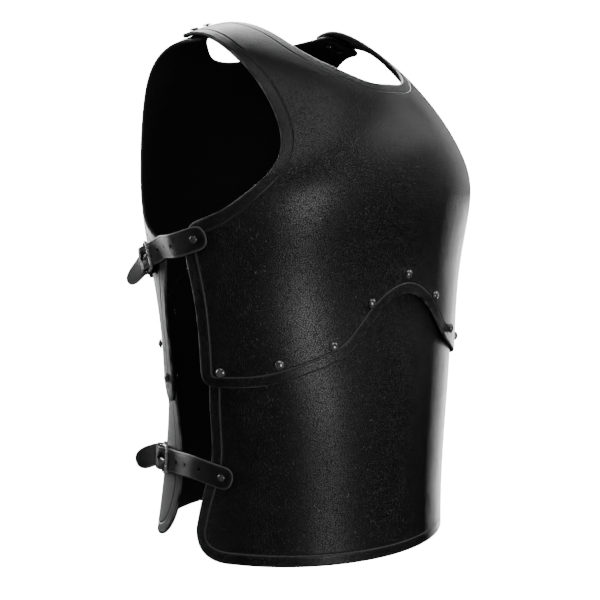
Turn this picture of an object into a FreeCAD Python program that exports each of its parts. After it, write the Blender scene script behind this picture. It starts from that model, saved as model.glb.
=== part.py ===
import FreeCAD, Part
import Sketcher
import math
import os

Vector = FreeCAD.Vector
Flat = FreeCAD.Base.Vector2d

# Driving sizes in millimetres. The front faces -Y, the wearer's left is +X,
# and the origin lies on the floor midway between the two hems.
lengths = {
    "leather": 4.0,
    "strap_leather": 2.2,
    "tab_leather": 1.6,
    "keeper_leather": 1.2,
    "lap_clearance": 0.3,
    "seat_clearance": 0.2,
    "torso_length": 640.0,
    "torso_half_girth": 246.0,
    "shoulder_line": 52.243,
    "shoulder_clearance": 1.1,
    "hem_trim": 1.5,
    "rivet_head": 9.0,
    "rivet_rise": 3.4,
    "rivet_shank": 3.2,
    "shoulder_rivet_head": 9.0,
    "shoulder_rivet_rise": 1.8,
    "shoulder_rivet_shank": 3.2,
    "small_rivet_head": 7.0,
    "small_rivet_rise": 1.5,
    "small_rivet_shank": 2.4,
    "burr_rim": 1.6,
    "burr_thickness": 0.9,
    "hole_clearance": 0.2,
    "swivel_clearance": 0.45,
    "strap_width": 22.0,
    "strap_end": 11.0,
    "upper_strap_front_lie": 12.0,
    "lower_strap_front_lie": 22.0,
    "upper_strap_back_lie": 21.0,
    "lower_strap_back_lie": 15.0,
    "strap_hole": 3.0,
    "strap_hole_pitch": 25.4,
    "prong_slot_length": 13.0,
    "prong_slot_heel": 0.6,
    "buckle_wire": 2.6,
    "buckle_reach": 16.0,
    "buckle_heel_corner": 1.7,
    "buckle_tip_corner": 3.6,
    "buckle_side_clearance": 0.6,
    "tip_bar_gap": 0.5,
    "tip_plate_gap": 0.6,
    "strap_lie_gap": 0.5,
    "prong_wire": 2.0,
    "pivot_clearance": 0.15,
    "wrap_clearance": 0.2,
    "tab_slot_clearance": 0.5,
    "keeper_width": 8.0,
    "keeper_place": 14.0,
    "keeper_slide": 2.5,
    "keeper_gap": 0.4,
    "keeper_clearance": 0.5,
    "keeper_rounding": 1.0,
    "tab_length": 49.0,
    "tab_rivet_place": 33.5,
    "tab_rivet_pitch": 9.5,
    "tab_end_rounding": 6.6,
    "strap_tip_rounding": 16.0,
    "cut_overrun": 6.0,
}

# Angles in degrees, counts, and the tongue's share of the prong's wire.
plain_numbers = {
    "upper_strap_front_fall_deg": 22.0,
    "upper_strap_back_fall_deg": 13.0,
    "lower_strap_front_fall_deg": -12.0,
    "lower_strap_back_fall_deg": 9.0,
    "surface_columns": 31,
    "surface_rows": 29,
    "strap_columns": 61,
    "tab_columns": 121,
    "hem_places": 9,
    "path_steps": 160,
    "path_spare_steps": 8,
    "solver_turns": 12,
    "spare_holes": 3,
    "tip_bar_stop": 6,
    "hinge_bar_stop": 10,
    "tongue_share": 0.92,
}

doc = FreeCAD.newDocument("leather_breastplate")
sheet = doc.addObject("Spreadsheet::Sheet", "sizes")
for row, (alias, number) in enumerate(list(lengths.items()) + list(plain_numbers.items()), 1):
    sheet.set("A%d" % row, alias)
    sheet.set("B%d" % row, str(number))
    sheet.setAlias("B%d" % row, alias)
doc.recompute()
size = {alias: float(sheet.get(alias)) for alias in list(lengths) + list(plain_numbers)}

hem_places, path_steps, path_spare_steps, solver_turns, spare_holes, tip_bar_stop, hinge_bar_stop = [
    int(size[name]) for name in ("hem_places", "path_steps", "path_spare_steps", "solver_turns",
                                 "spare_holes", "tip_bar_stop", "hinge_bar_stop")]
leather = size["leather"]
half_leather = leather / 2
lap = size["lap_clearance"]
seat = size["seat_clearance"]

# The back plate is cut a little shorter and narrower than the front.
back_length_share = 0.90625
back_girth_share = 0.97561

# Tables of the two torso forms. A station is a share of the way from the hem over
# the shoulder. There the form leans by lean_deg from upright, its section runs
# girth_share of the chest's half girth from the centre line to the side seam,
# turns through turn_deg on the way, and bend_share says how late it turns.
front_station_shares = (0, 0.1875, 0.375, 0.5156, 0.625, 0.7188, 0.8125, 0.9063, 1)
front_lean_deg = (4.0, 1.5, 4.0, -7.75, 22.4, 47.0, 62.7, 76.2, 112.8)
front_girth_shares = (0.926, 0.9527, 1.0149, 1.0272, 0.9615, 0.863, 0.813, 0.813, 0.813)
front_turn_deg = (85.6, 87.5, 86.4, 84.6, 83.9, 76.8, 58.7, 38.55, 33.0)
front_bend_shares = (0.23, 0.30, 0.47, 0.51, 0.33, 0.16, 0.10, 0.10, 0.10)

back_station_shares = (0, 0.2069, 0.4138, 0.569, 0.6897, 0.7931, 0.8966, 1)
back_lean_deg = (7.7, 3.0, -7.35, -4.5, 4.25, 31.3, 68.6, 98.5)
back_girth_shares = (0.8886, 0.8878, 0.9433, 0.9975, 0.9765, 0.905, 0.8333, 0.8333)
back_turn_deg = (86.8, 87.2, 87.9, 86.8, 78.8, 56.75, 33.3, 39.3)
back_bend_shares = (0.25, 0.25, 0.33, 0.39, 0.33, 0.22, 0.10, 0.10)

# Outlines in shares of the half girth across and of the length up, from the
# centre line outwards, one side only. Three-point groups are rounded corners.
front_neck_shares = ((0, 0.7124), (0.101, 0.7182), (0.1659, 0.7397), (0.2218, 0.7734),
                     (0.2485, 0.8015), (0.2667, 0.871), (0.2937, 0.9394), (0.327, 0.982))
front_strap_inner_corner_shares = ((0.327, 0.982), (0.342, 1.002), (0.415, 1.002))
front_strap_outer_corner_shares = ((0.415, 1.002), (0.495, 1.002), (0.495, 0.975))
front_armhole_shares = ((0.495, 0.975), (0.4967, 0.875), (0.5014, 0.8125), (0.5225, 0.75),
                        (0.5542, 0.6875), (0.6037, 0.625), (0.6628, 0.5795), (0.7676, 0.5248),
                        (0.8448, 0.4948), (0.920, 0.4775))
front_side_corner_shares = ((0.920, 0.4775), (0.970, 0.466), (0.956, 0.445))
chest_side_shares = ((0.956, 0.445), (0.9415, 0.4296), (0.9159, 0.4057), (0.8983, 0.381),
                     (0.8891, 0.3554), (0.885, 0.330), (0.883, 0.303))
chest_low_corner_shares = ((0.883, 0.303), (0.881, 0.2765), (0.815, 0.2762))
chest_wave_shares = ((0.815, 0.2762), (0.6487, 0.2757), (0.4715, 0.2901), (0.3046, 0.3145),
                     (0.1705, 0.3608), (0, 0.3896))
belly_top_shares = ((0, 0.4375), (0.21, 0.410), (0.402, 0.3455), (0.53, 0.330), (0.67, 0.326),
                    (0.79, 0.326))
belly_top_corner_shares = ((0.79, 0.326), (0.855, 0.326), (0.856, 0.300))
belly_side_shares = ((0.856, 0.300), (0.858, 0.25), (0.850, 0.19), (0.849, 0.152), (0.862, 0.1266),
                     (0.882, 0.1015), (0.900, 0.0763), (0.914, 0.054))

back_neck_shares = ((0, 0.8123), (0.1075, 0.8218), (0.1918, 0.849), (0.2717, 0.8823),
                    (0.3123, 0.921), (0.306, 0.945))
back_tab_inner_corner_shares = ((0.306, 0.945), (0.299, 0.9655), (0.36, 0.9655))
back_tab_end_shares = ((0.36, 0.9655), (0.468, 0.9655))
back_tab_outer_corner_shares = ((0.468, 0.9655), (0.527, 0.9655), (0.533, 0.945))
back_armhole_shares = ((0.533, 0.945), (0.5488, 0.9119), (0.5738, 0.8587), (0.5956, 0.8052),
                       (0.6105, 0.7514), (0.6235, 0.6974), (0.6371, 0.6436), (0.6568, 0.5898),
                       (0.7066, 0.5396), (0.8084, 0.5057), (0.865, 0.494))
back_side_corner_shares = ((0.865, 0.494), (0.930, 0.484), (0.895, 0.4665))
upper_back_side_shares = ((0.895, 0.4665), (0.841, 0.4285), (0.7682, 0.3739), (0.747, 0.335),
                          (0.742, 0.300), (0.745, 0.272))
upper_back_low_corner_shares = ((0.745, 0.272), (0.748, 0.2414), (0.683, 0.2414))
upper_back_wave_shares = ((0.683, 0.2414), (0.583, 0.269), (0.433, 0.317), (0.229, 0.369), (0, 0.393))
lower_back_top_shares = ((0, 0.452), (0.279, 0.424), (0.512, 0.3655), (0.640, 0.325))
lower_back_top_corner_shares = ((0.640, 0.325), (0.717, 0.300), (0.717, 0.262))
lower_back_side_shares = ((0.717, 0.262), (0.735, 0.242), (0.768, 0.205), (0.796, 0.165),
                          (0.808, 0.128))

# A hem corner leaves the side edge at its last place and reaches the hem here.
belly_hem_corner_shares = (0.922, 0.745)
lower_back_hem_corner_shares = (0.800, 0.530)

# Rivet places in the same shares.
front_waist_rivet_shares = ((0, 0.4188), (0.203, 0.381), (0.382, 0.325), (0.5935, 0.306), (0.805, 0.300))
back_waist_rivet_shares = ((0, 0.424), (0.20, 0.407), (0.40, 0.366), (0.575, 0.322), (0.688, 0.2765))
shoulder_rivet_front_shares = ((0.374, 0.9735), (0.451, 0.9735))
shoulder_lap_share = 0.93
# The places of the two forms that lie over each other at the shoulder.
front_shoulder_shares = (0.4125, 0.9735)
back_shoulder_shares = (0.41716, 0.93268)

# Straps: where each is riveted to the front and where its buckle's hinge bar lies
# on the back, both in the forms' shares.
strap_front_shares = {"upper": (0.919, 0.456), "lower": (0.800, 0.130)}
strap_back_shares = {"upper": (0.727, 0.463), "lower": (0.642, 0.1475)}
# The free end past the keeper, as shares of the strap width: along, outward, down.
strap_tip_shares = {
    "upper": ((0.25, 0.05, 0.04), (0.49, 0.21, 0.17), (0.65, 0.44, 0.37), (0.73, 0.68, 0.61)),
    "lower": ((0.32, 0.06, 0.04), (0.62, 0.29, 0.16), (0.84, 0.62, 0.34), (1.00, 1.00, 0.55)),
}
# How far the strap's width has turned there, from upright to its run and then outwards.
strap_tip_turn_deg = {
    "upper": ((7, 4), (24, 13), (41, 24), (52, 31)),
    "lower": ((3, 20), (9, 30), (16, 42), (22, 50)),
}
# Stops along a buckle tab, and round its fold.
tab_low_shares = (1, 0.75, 0.5, 0.27, 0.16)
eased_shares = (0, 0.25, 0.5, 0.75, 1)
wrap_angles_deg = (-90, -60, -30, 0, 30, 60, 90)

# Fineness of the calculations, as shares of the sizes they work on.
probe_share = 0.002
ribbon_probe_share = 0.0005
sewing_share = 0.0005
form_reach_share = 0.98
row_reach_shares = (-0.015, 1.01)
# Five-point Gauss rule on 0..1, for the length of a turning section.
gauss_shares = ((0.0469100770, 0.1184634425), (0.2307653449, 0.2393143352), (0.5, 0.2844444444),
                (0.7692346551, 0.2393143352), (0.9530899230, 0.1184634425))


def natural_spline(places, values):
    # A smooth curve of one value through its stations, free at both ends.
    count = len(places)
    bend = [0.0] * count
    work = [0.0] * count
    for i in range(1, count - 1):
        near = places[i] - places[i - 1]
        far = places[i + 1] - places[i]
        near_share = near / (near + far)
        pull = near_share * bend[i - 1] + 2
        bend[i] = (near_share - 1) / pull
        change = (values[i + 1] - values[i]) / far - (values[i] - values[i - 1]) / near
        work[i] = (6 * change / (near + far) - near_share * work[i - 1]) / pull
    bend[count - 1] = 0.0
    for i in range(count - 2, -1, -1):
        bend[i] = bend[i] * bend[i + 1] + work[i]

    def value(place):
        i = 0
        while i < count - 2 and place > places[i + 1]:
            i += 1
        span = places[i + 1] - places[i]
        a = (places[i + 1] - place) / span
        b = (place - places[i]) / span
        curve = ((a ** 3 - a) * bend[i] + (b ** 3 - b) * bend[i + 1]) * span * span / 6
        return a * values[i] + b * values[i + 1] + curve

    return value


class TorsoForm:
    # Half of the torso as leather laid flat: across is measured from the centre line
    # along the section, up from the hem along the centre line.

    def __init__(self, facing, length, girth, stations, lean, girths, turn, late):
        self.facing = facing
        self.length = length
        self.girth = girth
        self.lean = natural_spline(stations, lean)
        self.girths = natural_spline(stations, girths)
        self.turn = natural_spline(stations, turn)
        self.late = natural_spline(stations, late)
        self.step = 1.0 / path_steps
        y, z = 0.0, 0.0
        self.path = [(y, z)]
        for i in range(path_steps + path_spare_steps):
            angle = math.radians(self.lean((i + 0.5) * self.step))
            y += math.sin(angle) * self.step * length
            z += math.cos(angle) * self.step * length
            self.path.append((y, z))

    def shift(self, y, z):
        self.path = [(path_y + self.facing * y, path_z + z) for path_y, path_z in self.path]

    def at(self, across, up):
        place = up / self.length
        whole = place / self.step
        i = min(max(int(whole), 0), len(self.path) - 2)
        part = whole - i
        centre_y = self.path[i][0] * (1 - part) + self.path[i + 1][0] * part
        centre_z = self.path[i][1] * (1 - part) + self.path[i + 1][1] * part
        lean = math.radians(self.lean(place))
        turn = math.radians(self.turn(place))
        late = self.late(place)
        span = self.girths(place) * self.girth
        run = abs(across)
        side = depth = 0.0
        # two halves of the run, each by the five-point rule
        for half in (0, 1):
            for spot, weight in gauss_shares:
                t = (half + spot) / 2 * run / span
                heading = turn * ((1 - late) * t + late * t ** 3)
                side += math.cos(heading) * weight * run / 2
                depth += math.sin(heading) * weight * run / 2
        y = centre_y + depth * math.cos(lean)
        z = centre_z - depth * math.sin(lean)
        return Vector(math.copysign(side, across), self.facing * y, z)

    def normal(self, across, up):
        step = self.girth * probe_share
        along = self.at(across + step, up) - self.at(across - step, up)
        rise = self.at(across, up + step) - self.at(across, up - step)
        out = along.cross(rise) * self.facing
        return out.normalize()

    def lifted(self, across, up, height):
        return self.at(across, up) + self.normal(across, up) * height

    def place(self, shares, side=1):
        return side * shares[0] * self.girth, shares[1] * self.length

    def up_at_level(self, across, level):
        # How far up the leather lies at this height over the floor.
        up = 0.0
        for turn in range(solver_turns):
            up += level - self.at(across, up).z
        return up

    def nearest(self, point, across, up):
        # The form's own measures of the point on it that lies nearest.
        step = self.girth * probe_share
        for turn in range(solver_turns):
            here = self.at(across, up)
            along = (self.at(across + step, up) - here) / step
            rise = (self.at(across, up + step) - here) / step
            gap = point - here
            aa, ar, rr = along.dot(along), along.dot(rise), rise.dot(rise)
            ga, gr = gap.dot(along), gap.dot(rise)
            scale = aa * rr - ar * ar
            across += (ga * rr - gr * ar) / scale
            up += (gr * aa - ga * ar) / scale
        return across, up


front_form = TorsoForm(1, size["torso_length"], size["torso_half_girth"], front_station_shares,
                       front_lean_deg, front_girth_shares, front_turn_deg, front_bend_shares)
back_form = TorsoForm(-1, size["torso_length"] * back_length_share, size["torso_half_girth"] * back_girth_share,
                      back_station_shares, back_lean_deg, back_girth_shares, back_turn_deg, back_bend_shares)

# The front's shoulder is set over the shoulder line, and the back's shoulder under the front's.
front_shoulder = front_form.place(front_shoulder_shares)
front_form.shift(size["shoulder_line"] - front_form.at(*front_shoulder).y, 0)
back_shoulder = back_form.at(*back_form.place(back_shoulder_shares))
shoulder_gap = front_form.lifted(*front_shoulder, -leather - size["shoulder_clearance"]) - back_shoulder
back_form.shift(shoulder_gap.y, shoulder_gap.z)

# Heights of the faces over each form. The chest and upper back plates lie over
# the belly and lower back plates.
over_top, over_under = half_leather, -half_leather
under_top = over_under - lap
under_under = under_top - leather
plate_top = {"upper": over_top, "lower": under_top}


def spread(first, last, count):
    return [first + (last - first) * i / (count - 1) for i in range(int(count))]


def surface_through(rule, columns, rows):
    # A spline surface whose two parameters are the rule's own lengths.
    lines = []
    for up in rows:
        line = Part.BSplineCurve()
        line.interpolate(Points=[rule(across, up) for across in columns], Parameters=columns)
        lines.append(line)
    poles_by_row = [line.getPoles() for line in lines]
    poles = []
    for j in range(len(poles_by_row[0])):
        cross = Part.BSplineCurve()
        cross.interpolate(Points=[row_poles[j] for row_poles in poles_by_row], Parameters=rows)
        poles.append(cross.getPoles())
    surface = Part.BSplineSurface()
    surface.buildFromPolesMultsKnots(poles, lines[0].getMultiplicities(), cross.getMultiplicities(),
                                     lines[0].getKnots(), cross.getKnots(), False, False,
                                     lines[0].Degree, cross.Degree)
    return surface


def smooth_edge(points):
    if len(points) == 2:
        return Part.Geom2d.Line2dSegment(Flat(*points[0]), Flat(*points[1]))
    curve = Part.Geom2d.BSplineCurve2d()
    curve.interpolate([Flat(*point) for point in points])
    return curve


def corner_edge(points):
    curve = Part.Geom2d.BSplineCurve2d()
    curve.buildFromPolesMultsKnots([Flat(*point) for point in points], [3, 3], [0, 1], False, 2)
    return curve


def skin(surface, outline):
    edges = [curve.toShape(surface) for curve in outline]
    face = Part.Face(surface, Part.Wire(edges))
    face.validate()
    return face, edges


def leather_piece(top_surface, under_surface, outline):
    # Two skins with the same flat outline, closed by the cut edge of the leather.
    top, top_edges = skin(top_surface, outline)
    under, under_edges = skin(under_surface, outline)
    walls = [Part.makeRuledSurface(a, b) for a, b in zip(top_edges, under_edges)]
    sewn = Part.makeCompound([top, under] + walls)
    sewn.sewShape(leather * sewing_share)
    solid = Part.makeSolid(sewn.Shells[0])
    if solid.Volume < 0:
        solid.reverse()
    return solid


def torso_surface(form, height):
    columns = spread(-form.girth * form_reach_share, form.girth * form_reach_share, size["surface_columns"])
    rows = spread(form.length * row_reach_shares[0], form.length * row_reach_shares[1], size["surface_rows"])
    return surface_through(lambda across, up: form.lifted(across, up, height), columns, rows)


def torso_plate(form, top, outline):
    return leather_piece(torso_surface(form, top), torso_surface(form, top - leather), outline)


def in_lengths(form, shares):
    return [form.place(share) for share in shares]


def hem_line(form, last_share):
    # The hem from the centre line outwards, a trim below the floor.
    return [(across, form.up_at_level(across, -size["hem_trim"]))
            for across in spread(0, last_share * form.girth, hem_places)]


def hem_corner(form, side_shares, corner_shares, hem):
    # From the hem's end round to the side edge's low end.
    side_across, side_up = form.place(side_shares[-1])
    return [hem[-1], (corner_shares[0] * form.girth, hem[-1][1]), (side_across, side_up)]


def both_sides(groups):
    # The outline from one side's groups, in order from the lower centre line round
    # to the upper one, and back down the other side.
    right, left = [], []
    for kind, points in groups:
        if kind == "centre":
            whole = [(-x, y) for x, y in points[::-1]] + points[1:]
            right.append((kind, whole))
        else:
            right.append((kind, points))
            left.append((kind, [(-x, y) for x, y in points[::-1]]))
    first, middle, last = right[0], right[1:-1], right[-1]
    ordered = [first] + middle + [(last[0], last[1][::-1])] + left[::-1]
    return [corner_edge(p) if kind == "corner" else smooth_edge(p) for kind, p in ordered]


def backwards(form, shares):
    return in_lengths(form, shares)[::-1]


belly_hem = hem_line(front_form, belly_hem_corner_shares[1])
lower_back_hem = hem_line(back_form, lower_back_hem_corner_shares[1])
chest_outline = both_sides((
    ("centre", backwards(front_form, chest_wave_shares)),
    ("corner", backwards(front_form, chest_low_corner_shares)),
    ("smooth", backwards(front_form, chest_side_shares)),
    ("corner", backwards(front_form, front_side_corner_shares)),
    ("smooth", backwards(front_form, front_armhole_shares)),
    ("corner", backwards(front_form, front_strap_outer_corner_shares)),
    ("corner", backwards(front_form, front_strap_inner_corner_shares)),
    ("centre", in_lengths(front_form, front_neck_shares)),
))
belly_outline = both_sides((
    ("centre", belly_hem),
    ("corner", hem_corner(front_form, belly_side_shares, belly_hem_corner_shares, belly_hem)),
    ("smooth", backwards(front_form, belly_side_shares)),
    ("corner", backwards(front_form, belly_top_corner_shares)),
    ("centre", in_lengths(front_form, belly_top_shares)),
))
upper_back_outline = both_sides((
    ("centre", backwards(back_form, upper_back_wave_shares)),
    ("corner", backwards(back_form, upper_back_low_corner_shares)),
    ("smooth", backwards(back_form, upper_back_side_shares)),
    ("corner", backwards(back_form, back_side_corner_shares)),
    ("smooth", backwards(back_form, back_armhole_shares)),
    ("corner", backwards(back_form, back_tab_outer_corner_shares)),
    ("smooth", backwards(back_form, back_tab_end_shares)),
    ("corner", backwards(back_form, back_tab_inner_corner_shares)),
    ("centre", in_lengths(back_form, back_neck_shares)),
))
lower_back_outline = both_sides((
    ("centre", lower_back_hem),
    ("corner", hem_corner(back_form, lower_back_side_shares, lower_back_hem_corner_shares, lower_back_hem)),
    ("smooth", backwards(back_form, lower_back_side_shares)),
    ("corner", backwards(back_form, lower_back_top_corner_shares)),
    ("centre", in_lengths(back_form, lower_back_top_shares)),
))

# Everything under the floor, for trimming the hems level.
floor_half = size["torso_half_girth"]
under_floor = Part.makeBox(2 * floor_half, 2 * floor_half, floor_half,
                           Vector(-floor_half, -floor_half, -floor_half))
plates = {
    "front_chest_plate": torso_plate(front_form, over_top, chest_outline),
    "front_belly_plate": torso_plate(front_form, under_top, belly_outline).cut(under_floor),
    "back_upper_plate": torso_plate(back_form, over_top, upper_back_outline),
    "back_lower_plate": torso_plate(back_form, under_top, lower_back_outline).cut(under_floor),
}


class Ribbon:
    # A strip of leather along a route: each stop is a point, the strip's width
    # direction there, and the way its face looks.

    def __init__(self, stops, folded=False):
        points = [stop[0] for stop in stops]
        self.folded = folded
        self.marks = [0.0]
        for before, after in zip(points, points[1:]):
            self.marks.append(self.marks[-1] + (after - before).Length)
        self.end = self.marks[-1]
        self.curves = []
        for group in (points, [stop[1] for stop in stops], [stop[2] for stop in stops]):
            self.curves.append([natural_spline(self.marks, [p[axis] for p in group]) for axis in range(3)])

    def read(self, which, mark):
        return Vector(*[curve(mark) for curve in self.curves[which]])

    def frame(self, mark):
        # Point, run, width and face directions of the strip.
        step = self.end * ribbon_probe_share
        run = (self.read(0, mark + step) - self.read(0, mark - step)).normalize()
        wide = self.read(1, mark)
        wide = (wide - run * wide.dot(run)).normalize()
        face = run.cross(wide)
        if not self.folded and face.dot(self.read(2, mark)) < 0:
            face = -face
        return self.read(0, mark), run, wide, face

    def lifted(self, mark, wide_by, height):
        point, run, wide, face = self.frame(mark)
        return point + wide * wide_by + face * height

    def piece(self, half_width, thickness, columns, start_round, end_round):
        marks = spread(0, self.end, columns)
        across = spread(-half_width, half_width, 3)
        skins = []
        for height in (thickness / 2, -thickness / 2):
            skins.append(surface_through(lambda mark, wide_by: self.lifted(mark, wide_by, height),
                                         marks, across))
        first, middle, last = start_round, self.end / 2, self.end - end_round
        outline = [
            smooth_edge([(first, -half_width), (middle, -half_width)]),
            smooth_edge([(middle, -half_width), (last, -half_width)]),
            corner_edge([(last, -half_width), (self.end, -half_width), (self.end, 0)]),
            corner_edge([(self.end, 0), (self.end, half_width), (last, half_width)]),
            smooth_edge([(last, half_width), (middle, half_width)]),
            smooth_edge([(middle, half_width), (first, half_width)]),
            corner_edge([(first, half_width), (0, half_width), (0, 0)]),
            corner_edge([(0, 0), (0, -half_width), (first, -half_width)]),
        ]
        return leather_piece(skins[0], skins[1], outline)


def matrix_placement(origin, along, across, out):
    matrix = FreeCAD.Matrix(along.x, across.x, out.x, origin.x,
                            along.y, across.y, out.y, origin.y,
                            along.z, across.z, out.z, origin.z,
                            0, 0, 0, 1)
    return FreeCAD.Placement(matrix)


class Spot:
    # A place on a form with the strap's own directions: along runs towards the
    # middle of the back, out looks away from the leather.

    def __init__(self, form, side, shares, fall, height):
        self.form, self.side, self.fall, self.height = form, side, math.radians(fall), height
        self.across, self.up = form.place(shares)

    def moved(self, run):
        # Measures of the place this run further along the strap.
        across = self.across + self.form.facing * run * math.cos(self.fall)
        return self.side * across, self.up - run * math.sin(self.fall)

    def point(self, run, height):
        return self.form.lifted(*self.moved(run), self.height + height)

    def directions(self, run):
        step = self.form.girth * probe_share
        out = self.form.normal(*self.moved(run))
        along = self.form.at(*self.moved(run + step)) - self.form.at(*self.moved(run - step))
        along = (along - out * along.dot(out)).normalize()
        return along, out.cross(along), out

    def wide(self, run):
        across = self.directions(run)[1]
        return across if across.z > 0 else -across

    def stop(self, run, height):
        return self.point(run, height), self.wide(run), self.directions(run)[2]

    def placement(self, run, height):
        return matrix_placement(self.point(run, height), *self.directions(run))


# Heights of the strap fittings over the plate they lie on.
strap_leather, tab_leather = size["strap_leather"], size["tab_leather"]
keeper_leather, wire = size["keeper_leather"], size["buckle_wire"]
prong_wire, pivot = size["prong_wire"], size["pivot_clearance"]
half_strap = size["strap_width"] / 2
strap_seat = seat + strap_leather / 2
strap_lie = size["strap_lie_gap"] + strap_leather / 2
bar_height = size["tip_plate_gap"] + strap_leather + size["tip_bar_gap"] + wire / 2
wrap_radius = wire / 2 + size["wrap_clearance"] + tab_leather / 2
low_layer = seat + tab_leather / 2
keeper_low = low_layer + tab_leather / 2 + size["keeper_gap"]
high_layer = keeper_low + keeper_leather + size["keeper_gap"] + tab_leather / 2
closed_layer = low_layer + tab_leather + seat
strap_in_keeper = high_layer + tab_leather / 2 + size["keeper_gap"] + strap_leather / 2
strap_on_bar = bar_height + wire / 2 + prong_wire + 2 * pivot + strap_leather / 2
strap_under_tip_bar = size["tip_plate_gap"] + strap_leather / 2
keeper_bottom = keeper_low + keeper_leather
keeper_middle = (keeper_bottom + strap_in_keeper + strap_leather / 2 + size["keeper_clearance"]) / 2
reach = size["buckle_reach"]
keeper_place = size["keeper_place"]
keeper_half = size["keeper_width"] / 2
overrun = size["cut_overrun"]


def hole(placement, radius, depth):
    # A round cutter along the placement's upright, down to this depth.
    cutter = Part.makeCylinder(radius, depth + 2 * overrun, Vector(0, 0, -depth - overrun))
    cutter.Placement = placement
    return cutter


def primitive(kind, name, turn=None, **rules):
    # One primitive whose sizes and place follow the sheet.
    thing = doc.addObject("Part::" + kind, name)
    if turn is not None:
        thing.Placement = FreeCAD.Placement(Vector(0, 0, 0), turn)
    for rule_name, rule in rules.items():
        path = {"x": "Placement.Base.x", "y": "Placement.Base.y", "z": "Placement.Base.z"}
        thing.setExpression(path.get(rule_name, rule_name), rule)
    return thing


def fused(name, pieces):
    joined = doc.addObject("Part::MultiFuse", name)
    joined.Label = name
    joined.Shapes = pieces
    joined.Refine = True
    return joined


along_bar = FreeCAD.Rotation(Vector(1, 0, 0), 90)
along_strap = FreeCAD.Rotation(Vector(0, 1, 0), 90)
half_span = "(sizes.strap_width / 2 + sizes.buckle_side_clearance + sizes.buckle_wire / 2)"


def buckle_frame(name):
    # A wire loop whose hinge bar lies along Y at the origin, its tip bar towards -X.
    pieces = []
    for end, corner, back in (("heel", "sizes.buckle_heel_corner", "0"),
                              ("tip", "sizes.buckle_tip_corner", "-sizes.buckle_reach")):
        pieces.append(primitive("Cylinder", "%s_%s_bar" % (name, end), along_bar,
                                Radius="sizes.buckle_wire / 2",
                                Height="2 * (%s - %s)" % (half_span, corner),
                                x=back, y="%s - %s" % (half_span, corner)))
        for sign, quarter in (("+", 0), ("-", 270)) if end == "heel" else (("+", 90), ("-", 180)):
            middle = "-" + corner if end == "heel" else corner + " - sizes.buckle_reach"
            pieces.append(primitive("Torus", "%s_%s_corner_%d" % (name, end, quarter),
                                    FreeCAD.Rotation(Vector(0, 0, 1), quarter),
                                    Radius1=corner, Radius2="sizes.buckle_wire / 2", Angle3="90",
                                    x=middle, y="%s1 * (%s - %s)" % (sign, half_span, corner)))
    for side, sign in (("near", "-"), ("far", "+")):
        pieces.append(primitive("Cylinder", "%s_%s_side" % (name, side), along_strap,
                                Radius="sizes.buckle_wire / 2",
                                Height="sizes.buckle_reach - sizes.buckle_heel_corner - sizes.buckle_tip_corner",
                                x="sizes.buckle_tip_corner - sizes.buckle_reach",
                                y="%s1 * %s" % (sign, half_span)))
    return fused(name, pieces)


def buckle_prong(name):
    # A tongue with a ring round the hinge bar, resting on the tip bar.
    eye_radius = "sizes.buckle_wire / 2 + sizes.pivot_clearance"
    level = eye_radius + " + sizes.prong_wire / 2"
    tip = "-sizes.buckle_reach - sizes.buckle_wire / 2"
    ring = primitive("Cylinder", name + "_ring", along_bar, Radius=eye_radius + " + sizes.prong_wire",
                     Height="sizes.prong_wire", y="sizes.prong_wire / 2")
    slim = "sizes.tongue_share * sizes.prong_wire / 2"
    tongue = primitive("Cylinder", name + "_tongue", along_strap, Radius=slim,
                       Height="sizes.buckle_reach + sizes.buckle_wire / 2", x=tip, z=level)
    point = primitive("Sphere", name + "_point", along_strap, Radius=slim, x=tip, z=level)
    eye = primitive("Cylinder", name + "_eye", along_bar, Radius=eye_radius,
                    Height="2 * sizes.prong_wire", y="sizes.prong_wire")
    prong = doc.addObject("Part::Cut", name)
    prong.Label = name
    prong.Base, prong.Tool = fused(name + "_solid", [ring, tongue, point]), eye
    return prong


def rectangle_sketch(body, name, wide, high):
    # A rectangle about the origin of the body's YZ plane, its sides bound to the sheet.
    sketch = body.newObject("Sketcher::SketchObject", name)
    plane = [feature for feature in body.Origin.OriginFeatures if feature.Role == "YZ_Plane"][0]
    sketch.AttachmentSupport = [(plane, "")]
    sketch.MapMode = "FlatFace"
    corners = [Vector(-1, -1, 0), Vector(1, -1, 0), Vector(1, 1, 0), Vector(-1, 1, 0)]
    sketch.addGeometry([Part.LineSegment(corners[i], corners[(i + 1) % 4]) for i in range(4)], False)
    for i in range(4):
        sketch.addConstraint(Sketcher.Constraint("Coincident", i, 2, (i + 1) % 4, 1))
        sketch.addConstraint(Sketcher.Constraint("Vertical" if i % 2 else "Horizontal", i))
    sketch.addConstraint(Sketcher.Constraint("Symmetric", 0, 1, 2, 1, -1, 1))
    width = sketch.addConstraint(Sketcher.Constraint("DistanceX", 0, 1, 0, 2, 1.0))
    sketch.setExpression("Constraints[%d]" % width, wide)
    height = sketch.addConstraint(Sketcher.Constraint("DistanceY", 1, 1, 1, 2, 1.0))
    sketch.setExpression("Constraints[%d]" % height, high)
    return sketch


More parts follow.
